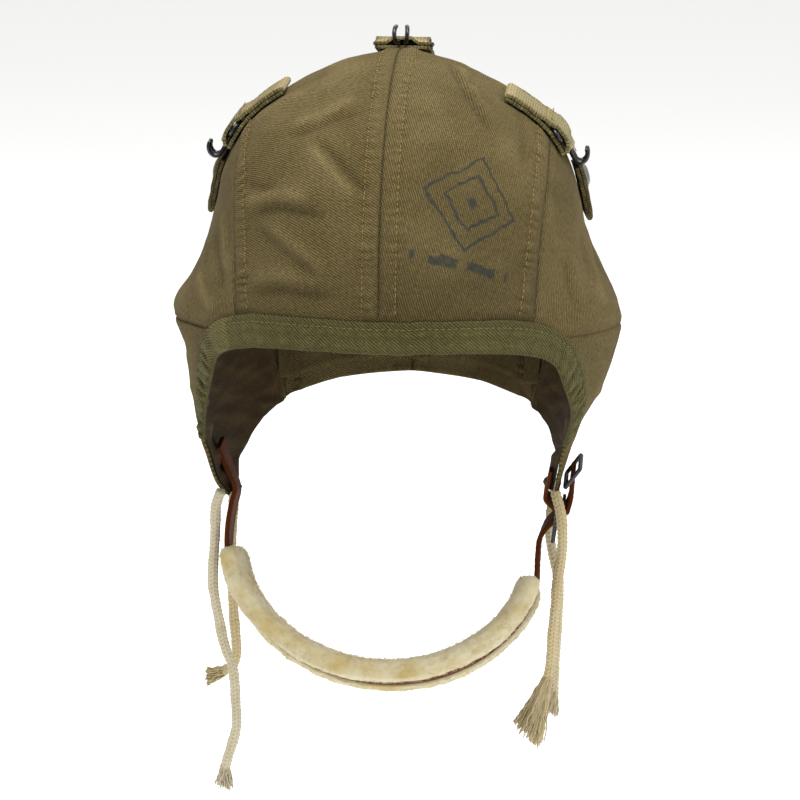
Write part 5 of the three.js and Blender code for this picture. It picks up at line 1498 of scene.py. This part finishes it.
def makeStrap():
    line, across, inward = strapStations()
    half, thin, corner = strap["width"] / 2, strap["thickness"] / 2, strap["corner"]
    section = []  # quarter circles at the corners, then short steps between them
    for x, y in ((1, 1), (-1, 1), (-1, -1), (1, -1)):
        start = math.degrees(math.atan2(y, x)) // 90 * 90
        for angle in np.radians(np.linspace(start, start + 90, 5)):
            section.append((x * (half - corner) + corner * math.cos(angle), y * (thin - corner)
                            + corner * math.sin(angle)))
    flat = []
    for a, b in zip(section, section[1:] + section[:1]):
        steps = max(int(np.hypot(b[0] - a[0], b[1] - a[1]) / 0.9), 1)
        flat += [(a[0] + (b[0] - a[0]) * k / steps, a[1] + (b[1] - a[1]) * k / steps) for k in range(steps)]
    flat = np.array(flat + flat[:1])
    length = runLengths(line, 0)
    fromTip = length[-1] - length
    narrow = np.sqrt(np.clip(1 - ((strap["tip"] - fromTip) / 5.6).clip(0, 1) ** 2, 0.02, 1))
    groove = -0.16 * bell(np.abs(flat[:, 0]) - strap["seam"], 0.45) * np.sign(flat[:, 1])
    rings = (line[:, None] + across[:, None] * (flat[:, 0] * narrow[:, None])[..., None]
             + inward[:, None] * np.broadcast_to((flat[:, 1] + groove)[None, :, None], (len(line), len(flat), 1)))
    tubePiece(rings, "leather_chin_strap", bridleLeather("bridle leather, red-brown", strapLook),
              "chin_strap")
    stitches = bmesh.new()
    for side in (-strap["seam"], strap["seam"]):
        for height in (-thin, thin):
            spots = (line + across * side + inward * (height + 0.1 * np.sign(height)))[6:-26]
            skip = [(strap["padStart"] - 0.02, strap["padEnd"] + 0.02)] if height > 0 else []
            stitchRun(stitches, spots, inward[6:-26] * np.sign(height),
                      {**stitching, "pitch": 3.0, "length": 2.2, "thick": 0.42}, lift=-0.14, skip=skip)
    thread = sewingThread("waxed linen thread, brown", {"light": "#5d4122", "dark": "#3a2613"})
    finishStitches(stitches, "strap_stitching", thread)
    return line, across, inward


strapLine, strapAcross, strapInward = makeStrap()

fleece = {"around": 150, "along": 230, "clump": 0.55, "curls": 4200, "curlLength": 1.9, "curlThick": 0.2,
          "batch": 200, "roundEnd": 5.5, "middle": 3.2, "groove": (9.6, 2.6)}
# cream wool, well yellowed; deep is the painted shade of the partings
fleeceLook = {"cream": "#d8cda8", "yellow": "#c4ab64", "deep": "#b29c62", "aged": 0.8}
# the pad's section round the strap: across and inward, in mm
padSection = [(-21, 1), (-19, -2.2), (-14, -3), (-8.98, -2), (-8.98, 1.58), (8.98, 1.58), (8.98, -2), (14, -3),
              (19, -2.2), (21, 1), (19.5, 5), (13, 8), (0, 9), (-13, 8), (-19.5, 5)]


def makeFleece():
    places = np.linspace(0, 1, len(strapLine))
    keep = (places >= strap["padStart"]) & (places <= strap["padEnd"])
    lengths = runLengths(strapLine[keep], 0)
    at = np.linspace(0, lengths[-1], fleece["along"])
    line, across, inward = (readAlong(at, lengths, source[keep])
                            for source in (strapLine, strapAcross, strapInward))
    shape = evenly(np.array(padSection + padSection[:1], float), fleece["around"])
    for _ in range(3):
        shape = np.vstack([shape[-2:-1], shape, shape[1:2]])
        shape = shape[1:-1] * 0.5 + shape[:-2] * 0.25 + shape[2:] * 0.25
    shape[-1] = shape[0]
    middle = np.array((0, fleece["middle"]))
    fromEnd = np.minimum(at, at[-1] - at)
    tuck = np.sqrt(np.clip(1 - (1 - np.clip(fromEnd / fleece["roundEnd"], 0, 1)) ** 2, 0.05, 1))
    rings = np.zeros((fleece["along"], fleece["around"], 3))
    for i in range(fleece["along"]):
        size = 0.9 + 0.1 * tuck[i] if fromEnd[i] > fleece["roundEnd"] else tuck[i] * 0.97
        flat = middle + (shape - middle) * size
        rings[i] = line[i] + across[i] * flat[:, :1] + inward[i] * flat[:, 1:]
    normals = gridNormals(rings, line.mean(axis=0))
    way = (normals * (rings - (line + inward * fleece["middle"])[:, None])).sum(-1)
    normals = normals * np.where(way.mean() < 0, -1, 1)
    grooveHalf, grooveTop = fleece["groove"]  # where the strap lies in the wool
    groove = (np.abs(shape[:, 0]) < grooveHalf) & (shape[:, 1] < grooveTop)
    clumps = noiseAt(rings, 2.4, 3) * 0.8 + noiseAt(rings, 1.1, 5) * 0.5 + noiseAt(rings, 7, 8) * 0.9
    height = fleece["clump"] * clumps * np.where(groove, 0.05, 1)[None]
    points = rings + normals * height[..., None]
    points[:, -1] = points[:, 0]
    wool = shearedWool("lambswool, sheared", fleeceLook)
    pad = tubePiece(points, "lambswool_pad", wool, "chin_fleece", {"relief": clumps}, ringUvs(rings))

    rng = random.Random(5)
    curls = bmesh.new()
    free = np.flatnonzero(~groove[:-1])
    for _ in range(fleece["curls"] // fleece["batch"]):
        part = bmesh.new()
        for _ in range(fleece["batch"]):
            r, c = rng.randrange(1, fleece["along"] - 1), int(rng.choice(free))
            lean = np.array([rng.uniform(-1, 1) for _ in range(3)])
            out, start = normals[r, c], points[r, c] - normals[r, c] * 0.3
            span = fleece["curlLength"] * rng.uniform(0.7, 1.15)
            bend = lean - out * np.dot(lean, out)
            spots = np.array([start + out * span * w * (1 - 0.35 * w) + bend * span * 0.75 * w * w
                              for w in (0, 0.4, 0.75, 1)])
            hair = tubeRings(spots, fleece["curlThick"] * np.array((1.2, 1.0, 0.7, 0.3)) / 2, 4)
            layTube(part, hair, {"relief": np.full(hair.shape[:2], rng.uniform(0, 0.6))}, cap=False)
        joinInto(curls, part)
    addPiece(curls, "lambswool_curls", [wool])


makeFleece()
print("strap and lambswool pad made")

# frames of flat bar: outer size, corner radius, centre, how far the top leans out, thickness
loopFrame = {"width": 25, "height": 18.5, "round": 3, "at": (76.2, -14.8, -215.8), "lean": 0.13, "bar": 2}
slideFrame = {"width": 23, "height": 13.6, "round": 2.4, "at": (83.8, -12.3, -193), "lean": 0.713, "bar": 2}
# steel frames in black japan, rusty at the chips
frameLook = {"colour": "#101013", "rust": "#4a3322", "gloss": 0.3, "chips": 0.7}


def makeFrame(name, node, shape, paint):
    x, y = shape["width"] / 2 - shape["bar"] / 2, shape["height"] / 2 - shape["bar"] / 2
    corner = shape["round"] - shape["bar"] / 2
    path = []
    for k, (sx, sy) in enumerate(((1, 1), (-1, 1), (-1, -1), (1, -1))):
        for angle in np.radians(np.linspace(90 * k, 90 * k + 90, 10)):
            path.append((sx * (x - corner) + corner * math.cos(angle), sy * (y - corner) + corner * math.sin(angle)))
    path = evenly(np.array(path + path[:1]), 160)
    tangent = unit(np.roll(path[:-1], -1, axis=0) - np.roll(path[:-1], 1, axis=0))
    outward = np.stack([tangent[:, 1], -tangent[:, 0]], axis=1)
    up = unit(np.array((shape["lean"], 0, 1.0)))
    wide = np.array((0, 1.0, 0))
    face = np.cross(wide, up)
    theta = np.linspace(0, math.tau, 17)
    half, squareness = shape["bar"] / 2 - 0.04, 0.62
    square = [np.sign(f(theta)) * np.abs(f(theta)) ** squareness * half for f in (np.cos, np.sin)]
    rings = []
    for (a, b), (oa, ob) in zip(path[:-1], outward):
        plane = (a + oa * square[0])[:, None] * wide + (b + ob * square[0])[:, None] * up
        rings.append(np.array(shape["at"]) + plane + square[1][:, None] * face)
    rings = np.array(rings + rings[:1])
    rings[:, -1] = rings[:, 0]
    bm = bmesh.new()
    layTube(bm, rings, cap=False)
    bmesh.ops.remove_doubles(bm, verts=bm.verts, dist=1e-7)
    addPiece(bm, name, [paint], [node], closed=True)


chapeShape = {"width": 16, "wall": 1.5, "seam": [(73.7, -190), (72.2, -198), (71, -204)]}


def makeChape():
    # from its seam in the flap down, round the frame's upper bar and up again
    up = unit(np.array((loopFrame["lean"], 1.0)))
    bar = np.array((loopFrame["at"][0], loopFrame["at"][2])) + up * (loopFrame["height"] - 2) / 2
    wrap = 2 * 0.72 + crown["gap"] + 0.8
    turns = np.radians(np.arange(200, 351, 30))
    route = chapeShape["seam"] + [tuple(bar + wrap * np.array((math.cos(a), math.sin(a)))) for a in turns]
    route.append((bar[0] + wrap, bar[1] + 1.2))
    line = evenly(centripetal(np.array(route, float), 160), 90)
    across = np.linspace(-chapeShape["width"] / 2, chapeShape["width"] / 2, 30)
    points = np.zeros((len(line), len(across), 3))
    points[..., 0], points[..., 2] = line[:, :1], line[:, 1:]
    points[..., 1] = loopFrame["at"][1] + across
    chape = sheetPiece(points, stripUvs(across, runLengths(line, 0)), None, "leather_chape",
                       [bridleLeather("bridle leather, tan brown", chapeLook)], ["buckle_chape"],
                       None, chapeShape["wall"], 0)
    softEdges(chape, 0.4, 3)


frameEnamel = blackEnamel("pressed steel, black japan", frameLook)
makeFrame("steel_strap_loop", "strap_loop", loopFrame, frameEnamel)
makeFrame("steel_strap_slide", "strap_slide", slideFrame, frameEnamel)
makeChape()
print("strap fittings made")

# plain pale floor and soft studio light
studio = {"floor": -0.62, "pale": "#fafaf8", "glow": 0.55, "world": 0.3, "aim": (0, 0, -0.12),
          "lamps": [((-0.12, -0.42, 1.45), 1.2, 32), ((1.5, -0.25, 0.9), 1.2, 11), ((0.1, 1.2, 1.1), 1.4, 10)]}


def makeStudio():
    bpy.context.scene.view_settings.view_transform = "Standard"
    material, tree = newMaterial("painted studio floor, matt white")
    feed(tree, tree.nodes["Principled BSDF"], {"Base Color": toLinear(studio["pale"]), "Roughness": 0.95,
                                               "Emission Color": (1, 1, 1, 1),
                                               "Emission Strength": studio["glow"]})
    bm = bmesh.new()
    height = Matrix.Translation((0, 0, studio["floor"]))
    bmesh.ops.create_grid(bm, x_segments=4, y_segments=4, size=40, matrix=height)
    mesh = bpy.data.meshes.new("studio_floor")
    bm.to_mesh(mesh)
    bm.free()
    mesh.materials.append(material)
    linked("studio_floor", mesh)
    for i, (place, size, power) in enumerate(studio["lamps"]):
        data = bpy.data.lights.new(f"softbox_{i}", "AREA")
        data.size, data.energy = size, power
        aimed(linked(f"softbox_{i}", data), place, studio["aim"])
    world = bpy.data.worlds.new("studio_air")
    world.use_nodes = True
    feed(world.node_tree, world.node_tree.nodes["Background"], {0: (1, 1, 1, 1), 1: studio["world"]})
    bpy.context.scene.world = world


makeStudio()
print("studio made")
